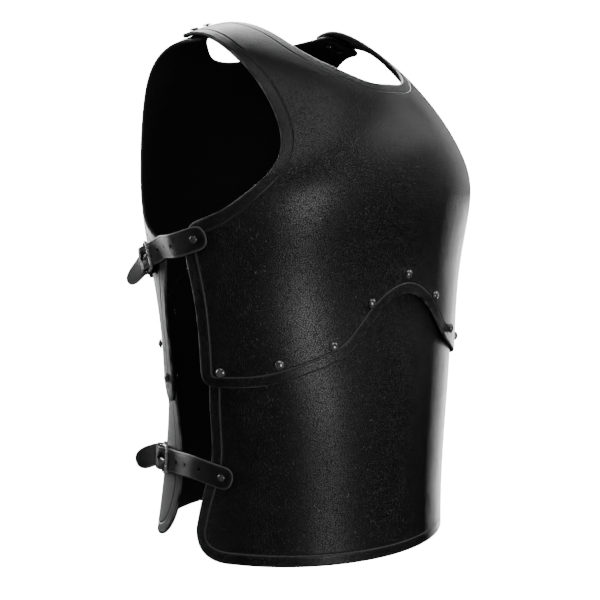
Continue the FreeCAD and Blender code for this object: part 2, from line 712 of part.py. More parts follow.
def strap_keeper(name):
    # A sewn leather loop round the strap and the tab's upper layer.
    body = doc.addObject("PartDesign::Body", name)
    body.Label = name
    inner_width = "(sizes.strap_width + 2 * sizes.keeper_clearance)"
    inner_height = "(sizes.tab_leather + sizes.strap_leather + 2 * sizes.keeper_gap + sizes.keeper_clearance)"
    outer = rectangle_sketch(body, name + "_outer", inner_width + " + 2 * sizes.keeper_leather",
                             inner_height + " + 2 * sizes.keeper_leather")
    band = body.newObject("PartDesign::Pad", name + "_band")
    band.Profile = outer
    band.Midplane = True
    band.setExpression("Length", "sizes.keeper_width")
    inner = rectangle_sketch(body, name + "_inner", inner_width, inner_height)
    opening = body.newObject("PartDesign::Pocket", name + "_opening")
    opening.Profile = inner
    opening.Midplane = True
    opening.Type = 1
    doc.recompute()
    rim = body.Shape.BoundBox
    edges = []
    for number, edge in enumerate(body.Shape.Edges, 1):
        middle = edge.CenterOfMass
        if abs(middle.x) < keeper_half / 2 and abs(abs(middle.y) - rim.YMax) < keeper_leather / 2:
            edges.append("Edge%d" % number)
    rounding = body.newObject("PartDesign::Fillet", name + "_rounding")
    rounding.Base = (opening, edges)
    rounding.setExpression("Radius", "sizes.keeper_rounding")
    return body


def rivet(placement, kind, grip):
    # A domed head over the placement's origin, its shank through the leather, its burr.
    head, rise, shank = [size[kind + name] for name in ("rivet_head", "rivet_rise", "rivet_shank")]
    ball = (head * head / 4 + rise * rise) / (2 * rise)
    rim_deg = math.degrees(math.asin((ball - rise) / ball))
    dome = Part.makeSphere(ball, Vector(0, 0, rise - ball), Vector(0, 0, 1), rim_deg, 90, 360)
    inner_end = Vector(0, 0, -grip - size["burr_thickness"])
    burr = Part.makeCylinder(shank / 2 + size["burr_rim"], size["burr_thickness"], inner_end)
    stem = Part.makeCylinder(shank / 2, grip + size["burr_thickness"], inner_end)
    solid = dome.fuse([burr, stem]).removeSplitter()
    solid.Placement = placement
    return solid


def level_placement(form, across, up, height):
    out = form.normal(across, up)
    along = Vector(1, 0, 0) - out * out.x
    along = along.normalize()
    return matrix_placement(form.lifted(across, up, height), along, out.cross(along), out)


def waist_rivets(form, shares):
    # Heads on the plate that lies over, burrs inside the one that lies under.
    solids, cuts = [], []
    grip = over_top - under_under + 2 * seat
    for share in shares:
        for side in ((1,) if share[0] == 0 else (-1, 1)):
            place = level_placement(form, *form.place(share, side), over_top + seat)
            solids.append(rivet(place, "", grip))
            cuts.append(hole(place, size["rivet_shank"] / 2 + size["hole_clearance"], grip))
    return solids, cuts


front_rivets, front_holes = waist_rivets(front_form, front_waist_rivet_shares)
back_rivets, back_holes = waist_rivets(back_form, back_waist_rivet_shares)

# Shoulder rivets join each front strap end to the back plate's shoulder tab and
# leave the front room to swing a little.
swivel = size["swivel_clearance"]
shoulder_rivets = {-1: [], 1: []}
shoulder_holes = []
shoulder_points = []
for side in (-1, 1):
    for share in shoulder_rivet_front_shares:
        across, up = front_form.place(share, side)
        place = level_placement(front_form, across, up, over_top + swivel)
        lap_start = back_form.length * shoulder_lap_share
        back_across, back_up = back_form.nearest(front_form.at(across, up), across, lap_start)
        inner = back_form.lifted(back_across, back_up, over_under)
        grip = (place.Base - inner).dot(front_form.normal(across, up)) + seat
        shoulder_rivets[side].append(rivet(place, "shoulder_", grip))
        shoulder_holes.append(hole(place, size["shoulder_rivet_shank"] / 2 + swivel, grip))
        shoulder_points.append((front_form.lifted(across, up, over_under)
                                + back_form.lifted(back_across, back_up, over_top)) / 2)


def strap_route(level, front_spot, back_spot):
    # Along the front plate, over the gap, under the tip bar, over the hinge bar,
    # through the keeper and off the plate.
    front_lie, back_lie = size[level + "_strap_front_lie"], size[level + "_strap_back_lie"]
    stops = [front_spot.stop(run, strap_seat) for run in (-size["strap_end"], 0, front_lie / 2, front_lie)]
    along, across, out = back_spot.directions(0)
    axle = back_spot.point(0, bar_height)
    wide = back_spot.wide(0)
    stops.append(back_spot.stop(-reach - back_lie, strap_lie))
    stops.append(back_spot.stop(-reach - back_lie / 2, strap_lie))
    for run, height in eased(-reach, 0, strap_under_tip_bar, strap_on_bar):
        stops.append((axle + along * run + out * (height - bar_height), wide, out))
    for run in (-keeper_half, keeper_half, keeper_half + size["keeper_slide"]):
        stops.append(back_spot.stop(keeper_place + run, strap_in_keeper))
    last_run = keeper_place + keeper_half + size["keeper_slide"]
    along, across, out = back_spot.directions(last_run)
    wide = back_spot.wide(last_run)
    last = stops[-1][0]
    for shares, turns in zip(strap_tip_shares[level], strap_tip_turn_deg[level]):
        run, rise, drop = [share * size["strap_width"] for share in shares]
        turn, opening = [math.radians(angle) for angle in turns]
        flat = along * math.cos(opening) + out * math.sin(opening)
        stops.append((last + along * run + out * rise - Vector(0, 0, drop),
                      wide * math.cos(turn) + flat * math.sin(turn), out))
    return Ribbon(stops)


def eased(first, last, start_height, end_height):
    # Places along the strap whose heights change softly from one level to the next.
    places = []
    for share in eased_shares:
        soft_share = share * share * (3 - 2 * share)
        places.append((first + (last - first) * share,
                       start_height + (end_height - start_height) * soft_share))
    return places


def tab_route(back_spot):
    # Under the hinge bar, round it and back over the keeper's low side.
    along, across, out = back_spot.directions(0)
    axle = back_spot.point(0, bar_height)
    wide = back_spot.wide(0)
    lay, close = size["tab_length"], size["tab_rivet_place"] - half_strap / 2
    stops = [(back_spot.point(lay * share, low_layer), back_spot.wide(lay * share), out)
             for share in tab_low_shares]
    for angle in wrap_angles_deg:
        turn = math.radians(angle)
        rim = axle - along * (wrap_radius * math.cos(turn)) + out * (wrap_radius * math.sin(turn))
        stops.append((rim, wide, out))
    keeper_end = keeper_place + keeper_half + size["keeper_slide"]
    top = eased(0, keeper_place - keeper_half, bar_height + wrap_radius, high_layer)[1:]
    top += eased(keeper_place, keeper_end, high_layer, high_layer)[2:-1]
    top += eased(keeper_end, close, high_layer, closed_layer)
    top += eased(close, lay, closed_layer, closed_layer)[1:]
    for run, height in top:
        stops.append((back_spot.point(run, height), back_spot.wide(run), out))
    return Ribbon(stops, folded=True)


nodes = {}
strap_cuts = {"upper": [], "lower": []}
tab_cuts = {"upper": [], "lower": []}
hinges = {}
hardware = []
small_hole = size["small_rivet_shank"] / 2 + size["hole_clearance"]
for level in ("upper", "lower"):
    for side, side_name in ((-1, "right"), (1, "left")):
        name = side_name + "_" + level
        front_spot = Spot(front_form, side, strap_front_shares[level],
                          size[level + "_strap_front_fall_deg"], plate_top[level])
        back_spot = Spot(back_form, side, strap_back_shares[level],
                         size[level + "_strap_back_fall_deg"], plate_top[level])
        hinge_place = back_spot.placement(0, bar_height)

        # the strap, its rivet, the slot for the tongue and the spare holes beside it
        route = strap_route(level, front_spot, back_spot)
        strap = route.piece(half_strap, strap_leather, size["strap_columns"],
                            half_strap, size["strap_tip_rounding"])
        rivet_place = front_spot.placement(0, strap_seat + strap_leather / 2 + seat)
        rivet_grip = strap_leather + leather + 3 * seat
        nodes[name + "_strap_rivet"] = rivet(rivet_place, "small_", rivet_grip)
        rivet_cut = hole(rivet_place, small_hole, rivet_grip)
        strap_cuts[level].append(rivet_cut)
        slot = Part.makeBox(size["prong_slot_length"], prong_wire + 2 * pivot, 2 * overrun,
                            Vector(size["prong_slot_heel"] - size["prong_slot_length"],
                                   -prong_wire / 2 - pivot, -overrun))
        slot.Placement = hinge_place
        cuts = [rivet_cut, slot]
        tongue_mark = (route.marks[tip_bar_stop] + route.marks[hinge_bar_stop]) / 2
        for count in range(1, spare_holes + 1):
            spare = Part.makeCylinder(size["strap_hole"] / 2, overrun, Vector(0, 0, -overrun / 2))
            spare.Placement = matrix_placement(*route.frame(tongue_mark - count * size["strap_hole_pitch"]))
            cuts.append(spare)
        nodes[name + "_strap"] = strap.cut(cuts)

        # the folded tab that holds the hinge bar, and its two rivets
        tab = tab_route(back_spot).piece(half_strap, tab_leather, size["tab_columns"],
                                         size["tab_end_rounding"], size["tab_end_rounding"])
        slot_half = prong_wire / 2 + size["tab_slot_clearance"]
        slot_reach = wrap_radius + tab_leather
        slot = Part.makeBox(2 * slot_reach, 2 * slot_half, 2 * slot_reach,
                            Vector(-slot_reach, -slot_half, -slot_reach))
        slot.Placement = hinge_place
        cuts = [slot]
        tab_rivets = []
        tab_grip = closed_layer + tab_leather / 2 + leather + 2 * seat
        for number in range(2):
            place = back_spot.placement(size["tab_rivet_place"] + number * size["tab_rivet_pitch"],
                                        closed_layer + tab_leather / 2 + seat)
            tab_rivets.append(rivet(place, "small_", tab_grip))
            cuts.append(hole(place, small_hole, tab_grip))
        tab_cuts[level] += cuts[1:]
        nodes[name + "_buckle_tab"] = tab.cut(cuts)
        nodes[name + "_tab_rivets"] = Part.makeCompound(tab_rivets)

        buckle_frame(name + "_buckle_frame").Placement = hinge_place
        buckle_prong(name + "_buckle_prong").Placement = hinge_place
        strap_keeper(name + "_keeper").Placement = back_spot.placement(keeper_place, keeper_middle)
        hardware += [name + "_buckle_frame", name + "_buckle_prong", name + "_keeper"]
        hinges[name] = (hinge_place.Base, back_spot.directions(0)[1], back_spot.directions(keeper_place)[0])

nodes["front_chest_plate"] = plates["front_chest_plate"].cut(front_holes + shoulder_holes + strap_cuts["upper"])
nodes["front_belly_plate"] = plates["front_belly_plate"].cut(front_holes + strap_cuts["lower"])
nodes["back_upper_plate"] = plates["back_upper_plate"].cut(back_holes + shoulder_holes + tab_cuts["upper"])
nodes["back_lower_plate"] = plates["back_lower_plate"].cut(back_holes + tab_cuts["lower"])
nodes["front_waist_rivets"] = Part.makeCompound(front_rivets)
nodes["back_waist_rivets"] = Part.makeCompound(back_rivets)
nodes["right_shoulder_rivets"] = Part.makeCompound(shoulder_rivets[-1])
nodes["left_shoulder_rivets"] = Part.makeCompound(shoulder_rivets[1])
for label, shape in nodes.items():
    feature = doc.addObject("Part::Feature", label)
    feature.Label = label
    feature.Shape = shape
doc.recompute()

for thing in doc.Objects:
    if "Invalid" in thing.State or "Error" in thing.State:
        raise RuntimeError("%s did not build: %s" % (thing.Name, thing.State))
os.makedirs("parts", exist_ok=True)
for label in list(nodes) + hardware:
    shape = doc.getObjectsByLabel(label)[0].Shape
    if shape.isNull() or not shape.isValid():
        raise RuntimeError("%s has no valid shape" % label)
    shape.exportStep("parts/%s.step" % label)
    print("%-28s solids %d  volume %.2f cm3" % (label, len(shape.Solids), shape.Volume / 1000))

for name, form in (("front", front_form), ("back", back_form)):
    print(name, "form starts at", [round(c, 4) for c in form.at(0, 0)])
shoulder_middle = sum(shoulder_points, Vector(0, 0, 0)) / len(shoulder_points)
print("shoulder hinge at", [round(c, 3) for c in shoulder_middle])
for name, (axle, axis, slide) in hinges.items():
    print(name, "bar", [round(c, 3) for c in axle], "axis", [round(c, 5) for c in axis],
          "keeper slide", [round(c, 5) for c in slide])
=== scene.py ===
import bpy
import bmesh
import math
import numpy as np
from mathutils import Matrix, Vector
from mathutils.geometry import delaunay_2d_cdt


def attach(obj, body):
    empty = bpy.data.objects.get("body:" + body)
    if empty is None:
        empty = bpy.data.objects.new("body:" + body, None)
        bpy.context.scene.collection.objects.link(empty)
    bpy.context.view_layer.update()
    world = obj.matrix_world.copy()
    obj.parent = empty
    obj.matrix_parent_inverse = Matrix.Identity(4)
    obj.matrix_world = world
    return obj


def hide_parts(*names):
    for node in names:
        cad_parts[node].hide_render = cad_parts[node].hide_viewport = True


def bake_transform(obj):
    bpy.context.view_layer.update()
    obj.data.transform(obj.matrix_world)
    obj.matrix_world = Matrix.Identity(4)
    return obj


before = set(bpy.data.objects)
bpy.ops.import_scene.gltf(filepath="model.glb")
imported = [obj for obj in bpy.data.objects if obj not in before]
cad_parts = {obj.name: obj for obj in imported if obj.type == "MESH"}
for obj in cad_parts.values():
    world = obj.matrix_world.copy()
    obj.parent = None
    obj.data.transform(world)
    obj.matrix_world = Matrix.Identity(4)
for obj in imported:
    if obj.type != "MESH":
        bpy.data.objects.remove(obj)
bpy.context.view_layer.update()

mm = 0.001

# Sizes of the leather, in millimetres like all lengths below; the meshes are made in metres.
leather = {"plate": 4.0, "lap": 0.3, "seat": 0.2, "strap": 2.2, "tab": 1.6, "keeper": 1.2}

# The two halves of the torso: where the centre line leans, how wide and how turned the sections are.
frontForm = {
    "facing": 1, "length": 640.0, "girth": 246.0, "reach": 140.7495, "rise": 0.0,
    "stations": (0, 0.1875, 0.375, 0.5156, 0.625, 0.7188, 0.8125, 0.9063, 1),
    "leanDeg": (4.0, 1.5, 4.0, -7.75, 22.4, 47.0, 62.7, 76.2, 112.8),
    "girths": (0.926, 0.9527, 1.0149, 1.0272, 0.9615, 0.863, 0.813, 0.813, 0.813),
    "turnDeg": (85.6, 87.5, 86.4, 84.6, 83.9, 76.8, 58.7, 38.55, 33.0),
    "late": (0.23, 0.30, 0.47, 0.51, 0.33, 0.16, 0.10, 0.10, 0.10),
}
backForm = {
    "facing": -1, "length": 580.0, "girth": 240.0, "reach": 130.5083, "rise": -0.2246,
    "stations": (0, 0.2069, 0.4138, 0.569, 0.6897, 0.7931, 0.8966, 1),
    "leanDeg": (7.7, 3.0, -7.35, -4.5, 4.25, 31.3, 68.6, 98.5),
    "girths": (0.8886, 0.8878, 0.9433, 0.9975, 0.9765, 0.905, 0.8333, 0.8333),
    "turnDeg": (86.8, 87.2, 87.9, 86.8, 78.8, 56.75, 33.3, 39.3),
    "late": (0.25, 0.25, 0.33, 0.39, 0.33, 0.22, 0.10, 0.10),
}


def splineThrough(places, values):
    # smooth curve through stations, free at both ends
    x, y = np.asarray(places, float), np.asarray(values, float)
    count, gap = len(x), np.diff(x)
    rule, want = np.zeros((count, count)), np.zeros(y.shape)
    rule[0, 0] = rule[-1, -1] = 1
    for i in range(1, count - 1):
        rule[i, i - 1:i + 2] = gap[i - 1], 2 * (gap[i - 1] + gap[i]), gap[i]
        want[i] = 6 * ((y[i + 1] - y[i]) / gap[i] - (y[i] - y[i - 1]) / gap[i - 1])
    bend = np.linalg.solve(rule, want)

    def read(t):
        t = np.asarray(t, float)
        i = np.clip(np.searchsorted(x, t) - 1, 0, count - 2)
        span = gap[i]
        a, b = (x[i + 1] - t) / span, (t - x[i]) / span
        if y.ndim > 1:
            a, b, span = a[..., None], b[..., None], span[..., None]
        sag = (a ** 3 - a) * bend[i] + (b ** 3 - b) * bend[i + 1]
        return a * y[i] + b * y[i + 1] + sag * span * span / 6

    return read


# places and weights that add up a curve's length over half of its run
gaussPairs = ((0.0469100770, 0.1184634425), (0.2307653449, 0.2393143352), (0.5, 0.2844444444),
              (0.7692346551, 0.2393143352), (0.9530899230, 0.1184634425))


formWork = {"pathSteps": 160, "spareSteps": 8, "slopeStep": 0.49, "solverTurns": 12}


def shapeTorso(form):
    # leather laid flat: across from the centre line, up from the hem
    lean, girths, turn, late = [splineThrough(form["stations"], form[key])
                                for key in ("leanDeg", "girths", "turnDeg", "late")]
    steps = formWork["pathSteps"]
    angle = np.radians(lean((np.arange(steps + formWork["spareSteps"]) + 0.5) / steps))
    piece = form["length"] / steps
    lineY = -form["reach"] + np.concatenate([[0], np.cumsum(np.sin(angle) * piece)])
    lineZ = form["rise"] + np.concatenate([[0], np.cumsum(np.cos(angle) * piece)])

    def at(across, up):
        across, up = np.broadcast_arrays(np.asarray(across, float), np.asarray(up, float))
        place = up / form["length"]
        whole = place * steps
        i = np.clip(whole.astype(int), 0, len(lineY) - 2)
        part = whole - i
        centreY = lineY[i] * (1 - part) + lineY[i + 1] * part
        centreZ = lineZ[i] * (1 - part) + lineZ[i + 1] * part
        tilt, sweep, lag = np.radians(lean(place)), np.radians(turn(place)), late(place)
        run = np.abs(across)
        share = run / (girths(place) * form["girth"])
        side, depth = np.zeros(run.shape), np.zeros(run.shape)
        for half in (0, 1):
            for spot, weight in gaussPairs:
                t = (half + spot) / 2 * share
                heading = sweep * ((1 - lag) * t + lag * t ** 3)
                side += np.cos(heading) * weight * run / 2
                depth += np.sin(heading) * weight * run / 2
        return np.stack([np.copysign(side, across), form["facing"] * (centreY + depth * np.cos(tilt)),
                         centreZ - depth * np.sin(tilt)], -1)

    def normal(across, up, step=formWork["slopeStep"]):
        out = np.cross(at(across + step, up) - at(across - step, up),
                       at(across, up + step) - at(across, up - step)) * form["facing"]
        return out / np.linalg.norm(out, axis=-1, keepdims=True)

    def lifted(across, up, height):
        return at(across, up) + normal(across, up) * np.asarray(height)[..., None]

    def upAtLevel(across, level=0.0):
        up = np.zeros(np.shape(across))
        for attempt in range(formWork["solverTurns"]):
            up = up + level - at(across, up)[..., 2]
        return up

    form.update(at=at, normal=normal, lifted=lifted, upAtLevel=upAtLevel)


shapeTorso(frontForm)
shapeTorso(backForm)


def evenly(fine, gap):
    marks = np.concatenate([[0], np.cumsum(np.linalg.norm(np.diff(fine, axis=0), axis=1))])
    count = max(3, int(round(marks[-1] / gap)) + 1)
    wanted = np.linspace(0, marks[-1], count)
    return np.stack([np.interp(wanted, marks, fine[:, k]) for k in (0, 1)], -1)


def smoothLine(points, gap=2.4, samples=400):
    # even points along a smooth line through a few
    points = np.asarray(points, float)
    marks = np.concatenate([[0], np.cumsum(np.linalg.norm(np.diff(points, axis=0), axis=1))])
    return evenly(splineThrough(marks, points)(np.linspace(0, marks[-1], samples)), gap)


def cornerLine(points, gap=1.5, samples=80):
    # a soft corner: starts and ends at the outer points and bends towards the middle one
    a, b, c = np.asarray(points, float)
    t = np.linspace(0, 1, samples)[:, None]
    return evenly((1 - t) ** 2 * a + 2 * t * (1 - t) * b + t ** 2 * c, gap)


def joined(parts):
    # one closed loop, each part without its last point
    return np.concatenate([part[:-1] for part in parts])


def mirroredLoop(form, groups):
    # groups of one side from the lower centre line to the upper one, then the other side
    scale = np.array([form["girth"], form["length"]])
    parts, back = [], []
    for number, (kind, points) in enumerate(groups):
        points = np.asarray(points, float) if kind.endswith("Raw") else np.asarray(points, float) * scale
        if kind.startswith("centre"):
            whole = np.concatenate([points[::-1] * [-1, 1], points[1:]])
            parts.append(smoothLine(whole if number == 0 else whole[::-1]))
        else:
            line = cornerLine(points) if kind.startswith("corner") else smoothLine(points)
            parts.append(line)
            back.insert(0, line[::-1] * [-1, 1])
    return joined(parts + back)


def hemGroups(form, sideEnd, bulge, reachShare, places=9):
    # a hem that is level with the floor, and the corner that leads up from it
    across = np.linspace(0, reachShare * form["girth"], places)
    hem = np.stack([across, form["upAtLevel"](across)], -1)
    end = np.array(sideEnd) * [form["girth"], form["length"]]
    corner = [hem[-1], (bulge * form["girth"], hem[-1][1]), end]
    return [("centreRaw", hem), ("cornerRaw", corner)]


# Outlines of the plates: shares of the form's girth and length, from the lower centre line round the side.
chestOutline = [
    ("centre", [(0, 0.3896), (0.1705, 0.3608), (0.3046, 0.3145), (0.4715, 0.2901), (0.6487, 0.2757),
                (0.815, 0.2762)]),
    ("corner", [(0.815, 0.2762), (0.881, 0.2765), (0.883, 0.303)]),
    ("smooth", [(0.883, 0.303), (0.885, 0.330), (0.8891, 0.3554), (0.8983, 0.381), (0.9159, 0.4057),
                (0.9415, 0.4296), (0.956, 0.445)]),
    ("corner", [(0.956, 0.445), (0.970, 0.466), (0.920, 0.4775)]),
    ("smooth", [(0.920, 0.4775), (0.8448, 0.4948), (0.7676, 0.5248), (0.6628, 0.5795), (0.6037, 0.625),
                (0.5542, 0.6875), (0.5225, 0.75), (0.5014, 0.8125), (0.4967, 0.875), (0.495, 0.975)]),
    ("corner", [(0.495, 0.975), (0.495, 1.002), (0.415, 1.002)]),
    ("corner", [(0.415, 1.002), (0.342, 1.002), (0.327, 0.982)]),
    ("centre", [(0, 0.7124), (0.101, 0.7182), (0.1659, 0.7397), (0.2218, 0.7734), (0.2485, 0.8015),
                (0.2667, 0.871), (0.2937, 0.9394), (0.327, 0.982)]),
]
bellyOutline = hemGroups(frontForm, (0.914, 0.054), 0.922, 0.745) + [
    ("smooth", [(0.914, 0.054), (0.900, 0.0763), (0.882, 0.1015), (0.862, 0.1266), (0.849, 0.152),
                (0.850, 0.19), (0.858, 0.25), (0.856, 0.300)]),
    ("corner", [(0.856, 0.300), (0.855, 0.326), (0.79, 0.326)]),
    ("centre", [(0, 0.4375), (0.21, 0.410), (0.402, 0.3455), (0.53, 0.330), (0.67, 0.326), (0.79, 0.326)]),
]
upperBackOutline = [
    ("centre", [(0, 0.393), (0.229, 0.369), (0.433, 0.317), (0.583, 0.269), (0.683, 0.2414)]),
    ("corner", [(0.683, 0.2414), (0.748, 0.2414), (0.745, 0.272)]),
    ("smooth", [(0.745, 0.272), (0.742, 0.300), (0.747, 0.335), (0.7682, 0.3739), (0.841, 0.4285),
                (0.895, 0.4665)]),
    ("corner", [(0.895, 0.4665), (0.930, 0.484), (0.865, 0.494)]),
    ("smooth", [(0.865, 0.494), (0.8084, 0.5057), (0.7066, 0.5396), (0.6568, 0.5898), (0.6371, 0.6436),
                (0.6235, 0.6974), (0.6105, 0.7514), (0.5956, 0.8052), (0.5738, 0.8587), (0.5488, 0.9119),
                (0.533, 0.945)]),
    ("corner", [(0.533, 0.945), (0.527, 0.9655), (0.468, 0.9655)]),
    ("smooth", [(0.468, 0.9655), (0.414, 0.9655), (0.36, 0.9655)]),
    ("corner", [(0.36, 0.9655), (0.299, 0.9655), (0.306, 0.945)]),
    ("centre", [(0, 0.8123), (0.1075, 0.8218), (0.1918, 0.849), (0.2717, 0.8823), (0.3123, 0.921),
                (0.306, 0.945)]),
]
lowerBackOutline = hemGroups(backForm, (0.808, 0.128), 0.800, 0.530) + [
    ("smooth", [(0.808, 0.128), (0.796, 0.165), (0.768, 0.205), (0.735, 0.242), (0.717, 0.262)]),
    ("corner", [(0.717, 0.262), (0.717, 0.300), (0.640, 0.325)]),
    ("centre", [(0, 0.452), (0.279, 0.424), (0.512, 0.3655), (0.640, 0.325)]),
]


def newMaterial(name):
    material = bpy.data.materials.new(name)
    material.use_nodes = True
    nodes, links = material.node_tree.nodes, material.node_tree.links
    shader = nodes["Principled BSDF"]
    return material, nodes, links, shader


def addNode(nodes, kind, **settings):
    node = nodes.new(kind)
    for key, value in settings.items():
        if key.startswith("in_"):
            node.inputs[key[3:].replace("_", " ")].default_value = value
        else:
            setattr(node, key, value)
    return node


def rampBetween(nodes, links, source, low, high):
    # low and high are (place, shade) pairs
    ramp = nodes.new("ShaderNodeValToRGB")
    for element, (place, shade) in zip(ramp.color_ramp.elements, (low, high)):
        element.position = place
        element.color = (*shade, 1)
    links.new(source, ramp.inputs["Fac"])
    return ramp.outputs["Color"]


def noiseOn(nodes, links, where, scale, detail, **settings):
    noise = addNode(nodes, "ShaderNodeTexNoise", in_Scale=scale, in_Detail=detail, **settings)
    links.new(where, noise.inputs["Vector"])
    return noise


def rangeOn(nodes, links, source, key, values):
    # key is "From" or "To"
    spread = addNode(nodes, "ShaderNodeMapRange")
    for end, value in zip(("Min", "Max"), values):
        spread.inputs[key + " " + end].default_value = value
    links.new(source, spread.inputs["Value"])
    return spread.outputs["Result"]


def mixOn(nodes, links, share, base, shade):
    mix = addNode(nodes, "ShaderNodeMix", data_type="RGBA")
    links.new(share, mix.inputs["Factor"])
    links.new(base, mix.inputs["A"])
    mix.inputs["B"].default_value = (*shade, 1)
    return mix.outputs["Result"]


def leatherMaterial(name, look):
    # grain cells, pores and soft mottling; the crease's painted highlight and the cut edge's wear with a
    # painted highlight come from the mesh's own attributes
    material, nodes, links, shader = newMaterial(name)
    where = addNode(nodes, "ShaderNodeTexCoord").outputs["Object"]
    grainScale = look["grainPerMetre"]
    cells = addNode(nodes, "ShaderNodeTexVoronoi", feature="DISTANCE_TO_EDGE", in_Scale=grainScale,
                    in_Randomness=1.0)
    warp = noiseOn(nodes, links, where, grainScale * look["warpScale"], 2.0)
    bent = addNode(nodes, "ShaderNodeVectorMath", operation="MULTIPLY_ADD")
    bent.inputs[1].default_value = [look["warpReach"]] * 3
    links.new(warp.outputs["Color"], bent.inputs[0])
    links.new(where, bent.inputs[2])
    links.new(bent.outputs[0], cells.inputs["Vector"])
    pores = noiseOn(nodes, links, where, grainScale * look["poreScale"], 3.0)
    clouds = noiseOn(nodes, links, where, look["cloudsPerMetre"], 5.0, in_Roughness=0.6).outputs["Fac"]
    tint = rampBetween(nodes, links, clouds, (0.3, look["dark"]), (0.72, look["light"]))

    # painted highlight along the crease: a lighter colour where the groove's flank would catch the light
    crease = addNode(nodes, "ShaderNodeAttribute", attribute_name="crease")
    creased = mixOn(nodes, links, crease.outputs["Fac"], tint, look["crease"])
    # the outer cut edge, lighter in patches: partly wear, partly a painted highlight where the rounded edge
    # would catch the light
    rub = addNode(nodes, "ShaderNodeAttribute", attribute_name="rub")
    rubNoise = noiseOn(nodes, links, where, look["cloudsPerMetre"] * look["rubScale"], 4.0)
    rubPatch = rampBetween(nodes, links, rubNoise.outputs["Fac"], (look["rubCover"][0], (0, 0, 0)),
                           (look["rubCover"][1], (1, 1, 1)))
    rubCut = addNode(nodes, "ShaderNodeMath", operation="MULTIPLY")
    links.new(rub.outputs["Fac"], rubCut.inputs[0])
    links.new(rubPatch, rubCut.inputs[1])
    links.new(mixOn(nodes, links, rubCut.outputs[0], creased, look["rubbed"]), shader.inputs["Base Color"])
    links.new(rangeOn(nodes, links, clouds, "To", look["roughness"]), shader.inputs["Roughness"])

    grain = addNode(nodes, "ShaderNodeMath", operation="MULTIPLY_ADD")
    grain.inputs[1].default_value = look["poreShare"]
    links.new(pores.outputs["Fac"], grain.inputs[0])
    links.new(rangeOn(nodes, links, cells.outputs["Distance"], "From", (0, look["cellEdge"])), grain.inputs[2])
    fine = addNode(nodes, "ShaderNodeBump", in_Strength=look["grainStrength"], in_Distance=look["grainDepth"])
    links.new(grain.outputs[0], fine.inputs["Height"])
    waves = noiseOn(nodes, links, where, look["wavesPerMetre"], 3.0)
    broad = addNode(nodes, "ShaderNodeBump", in_Strength=look["waveStrength"], in_Distance=look["waveDepth"])
    links.new(waves.outputs["Fac"], broad.inputs["Height"])
    links.new(broad.outputs["Normal"], fine.inputs["Normal"])
    links.new(fine.outputs["Normal"], shader.inputs["Normal"])
    shader.inputs["Specular IOR Level"].default_value = look["specular"]
    shader.inputs["Coat Weight"].default_value = look["coat"]
    shader.inputs["Coat Roughness"].default_value = look["coatRoughness"]
    return material


# The crease colour is a painted highlight along the groove; the edge colour is partly wear, partly a painted
# highlight on the rounded edge.
plateLook = {
    "dark": (0.0014, 0.0014, 0.0015), "light": (0.0042, 0.0042, 0.0044), "crease": (0.045, 0.045, 0.045),
    "rubbed": (0.085, 0.085, 0.085), "rubCover": (0.38, 0.66), "rubScale": 5, "cloudsPerMetre": 16.0,
    "grainPerMetre": 520.0, "grainDepth": 0.0003, "grainStrength": 0.62, "cellEdge": 0.12,
    "warpScale": 0.6, "warpReach": 0.0008, "poreScale": 2.2, "poreShare": 0.35,
    "wavesPerMetre": 14.0, "waveDepth": 0.004, "waveStrength": 0.12,
    "roughness": (0.42, 0.30), "specular": 0.62, "coat": 0.10, "coatRoughness": 0.24,
}
# on the straps the crease colour is a faint painted highlight, and the edge colour is partly wear, partly a
# painted highlight
strapLook = dict(plateLook, grainPerMetre=900.0, grainStrength=0.45, rubCover=(0.20, 0.42),
                 dark=(0.002, 0.002, 0.002), light=(0.005, 0.005, 0.005), crease=(0.004, 0.004, 0.004),
                 rubbed=(0.06, 0.06, 0.06), roughness=(0.46, 0.36), specular=0.5, coat=0.0)
plateLeather = leatherMaterial("plateLeather", plateLook)
strapLeather = leatherMaterial("strapLeather", strapLook)
tabLeather = leatherMaterial("tabLeather", dict(strapLook, grainPerMetre=1000.0))


def fleshMaterial(name, look):
    # the unfinished side of the hide: matt, with short loose fibres
    material, nodes, links, shader = newMaterial(name)
    stretch = addNode(nodes, "ShaderNodeMapping", in_Scale=look["stretch"])
    links.new(addNode(nodes, "ShaderNodeTexCoord").outputs["Object"], stretch.inputs["Vector"])
    fibres = noiseOn(nodes, links, stretch.outputs["Vector"], look["fibresPerMetre"], 6.0,
                     in_Roughness=0.7).outputs["Fac"]
    low, high = [tuple(c * share for c in look["shade"]) for share in look["shadeShares"]]
    links.new(rampBetween(nodes, links, fibres, (0.3, low), (0.7, high)), shader.inputs["Base Color"])
    nap = addNode(nodes, "ShaderNodeBump", in_Strength=look["napStrength"], in_Distance=look["napDepth"])
    links.new(fibres, nap.inputs["Height"])
    links.new(nap.outputs["Normal"], shader.inputs["Normal"])
    shader.inputs["Roughness"].default_value = look["roughness"]
    shader.inputs["Specular IOR Level"].default_value = look["specular"]
    return material


fleshLook = {"shade": (0.003, 0.003, 0.003), "shadeShares": (0.6, 1.5), "roughness": 0.95, "specular": 0.15,
             "fibresPerMetre": 900.0, "stretch": (1.0, 1.0, 0.35), "napStrength": 0.4, "napDepth": 0.0003}
fleshSide = fleshMaterial("fleshSide", fleshLook)
cutEdge = fleshMaterial("cutEdge", dict(fleshLook, shade=(0.008, 0.008, 0.008), roughness=0.5,
                                        fibresPerMetre=1500.0))


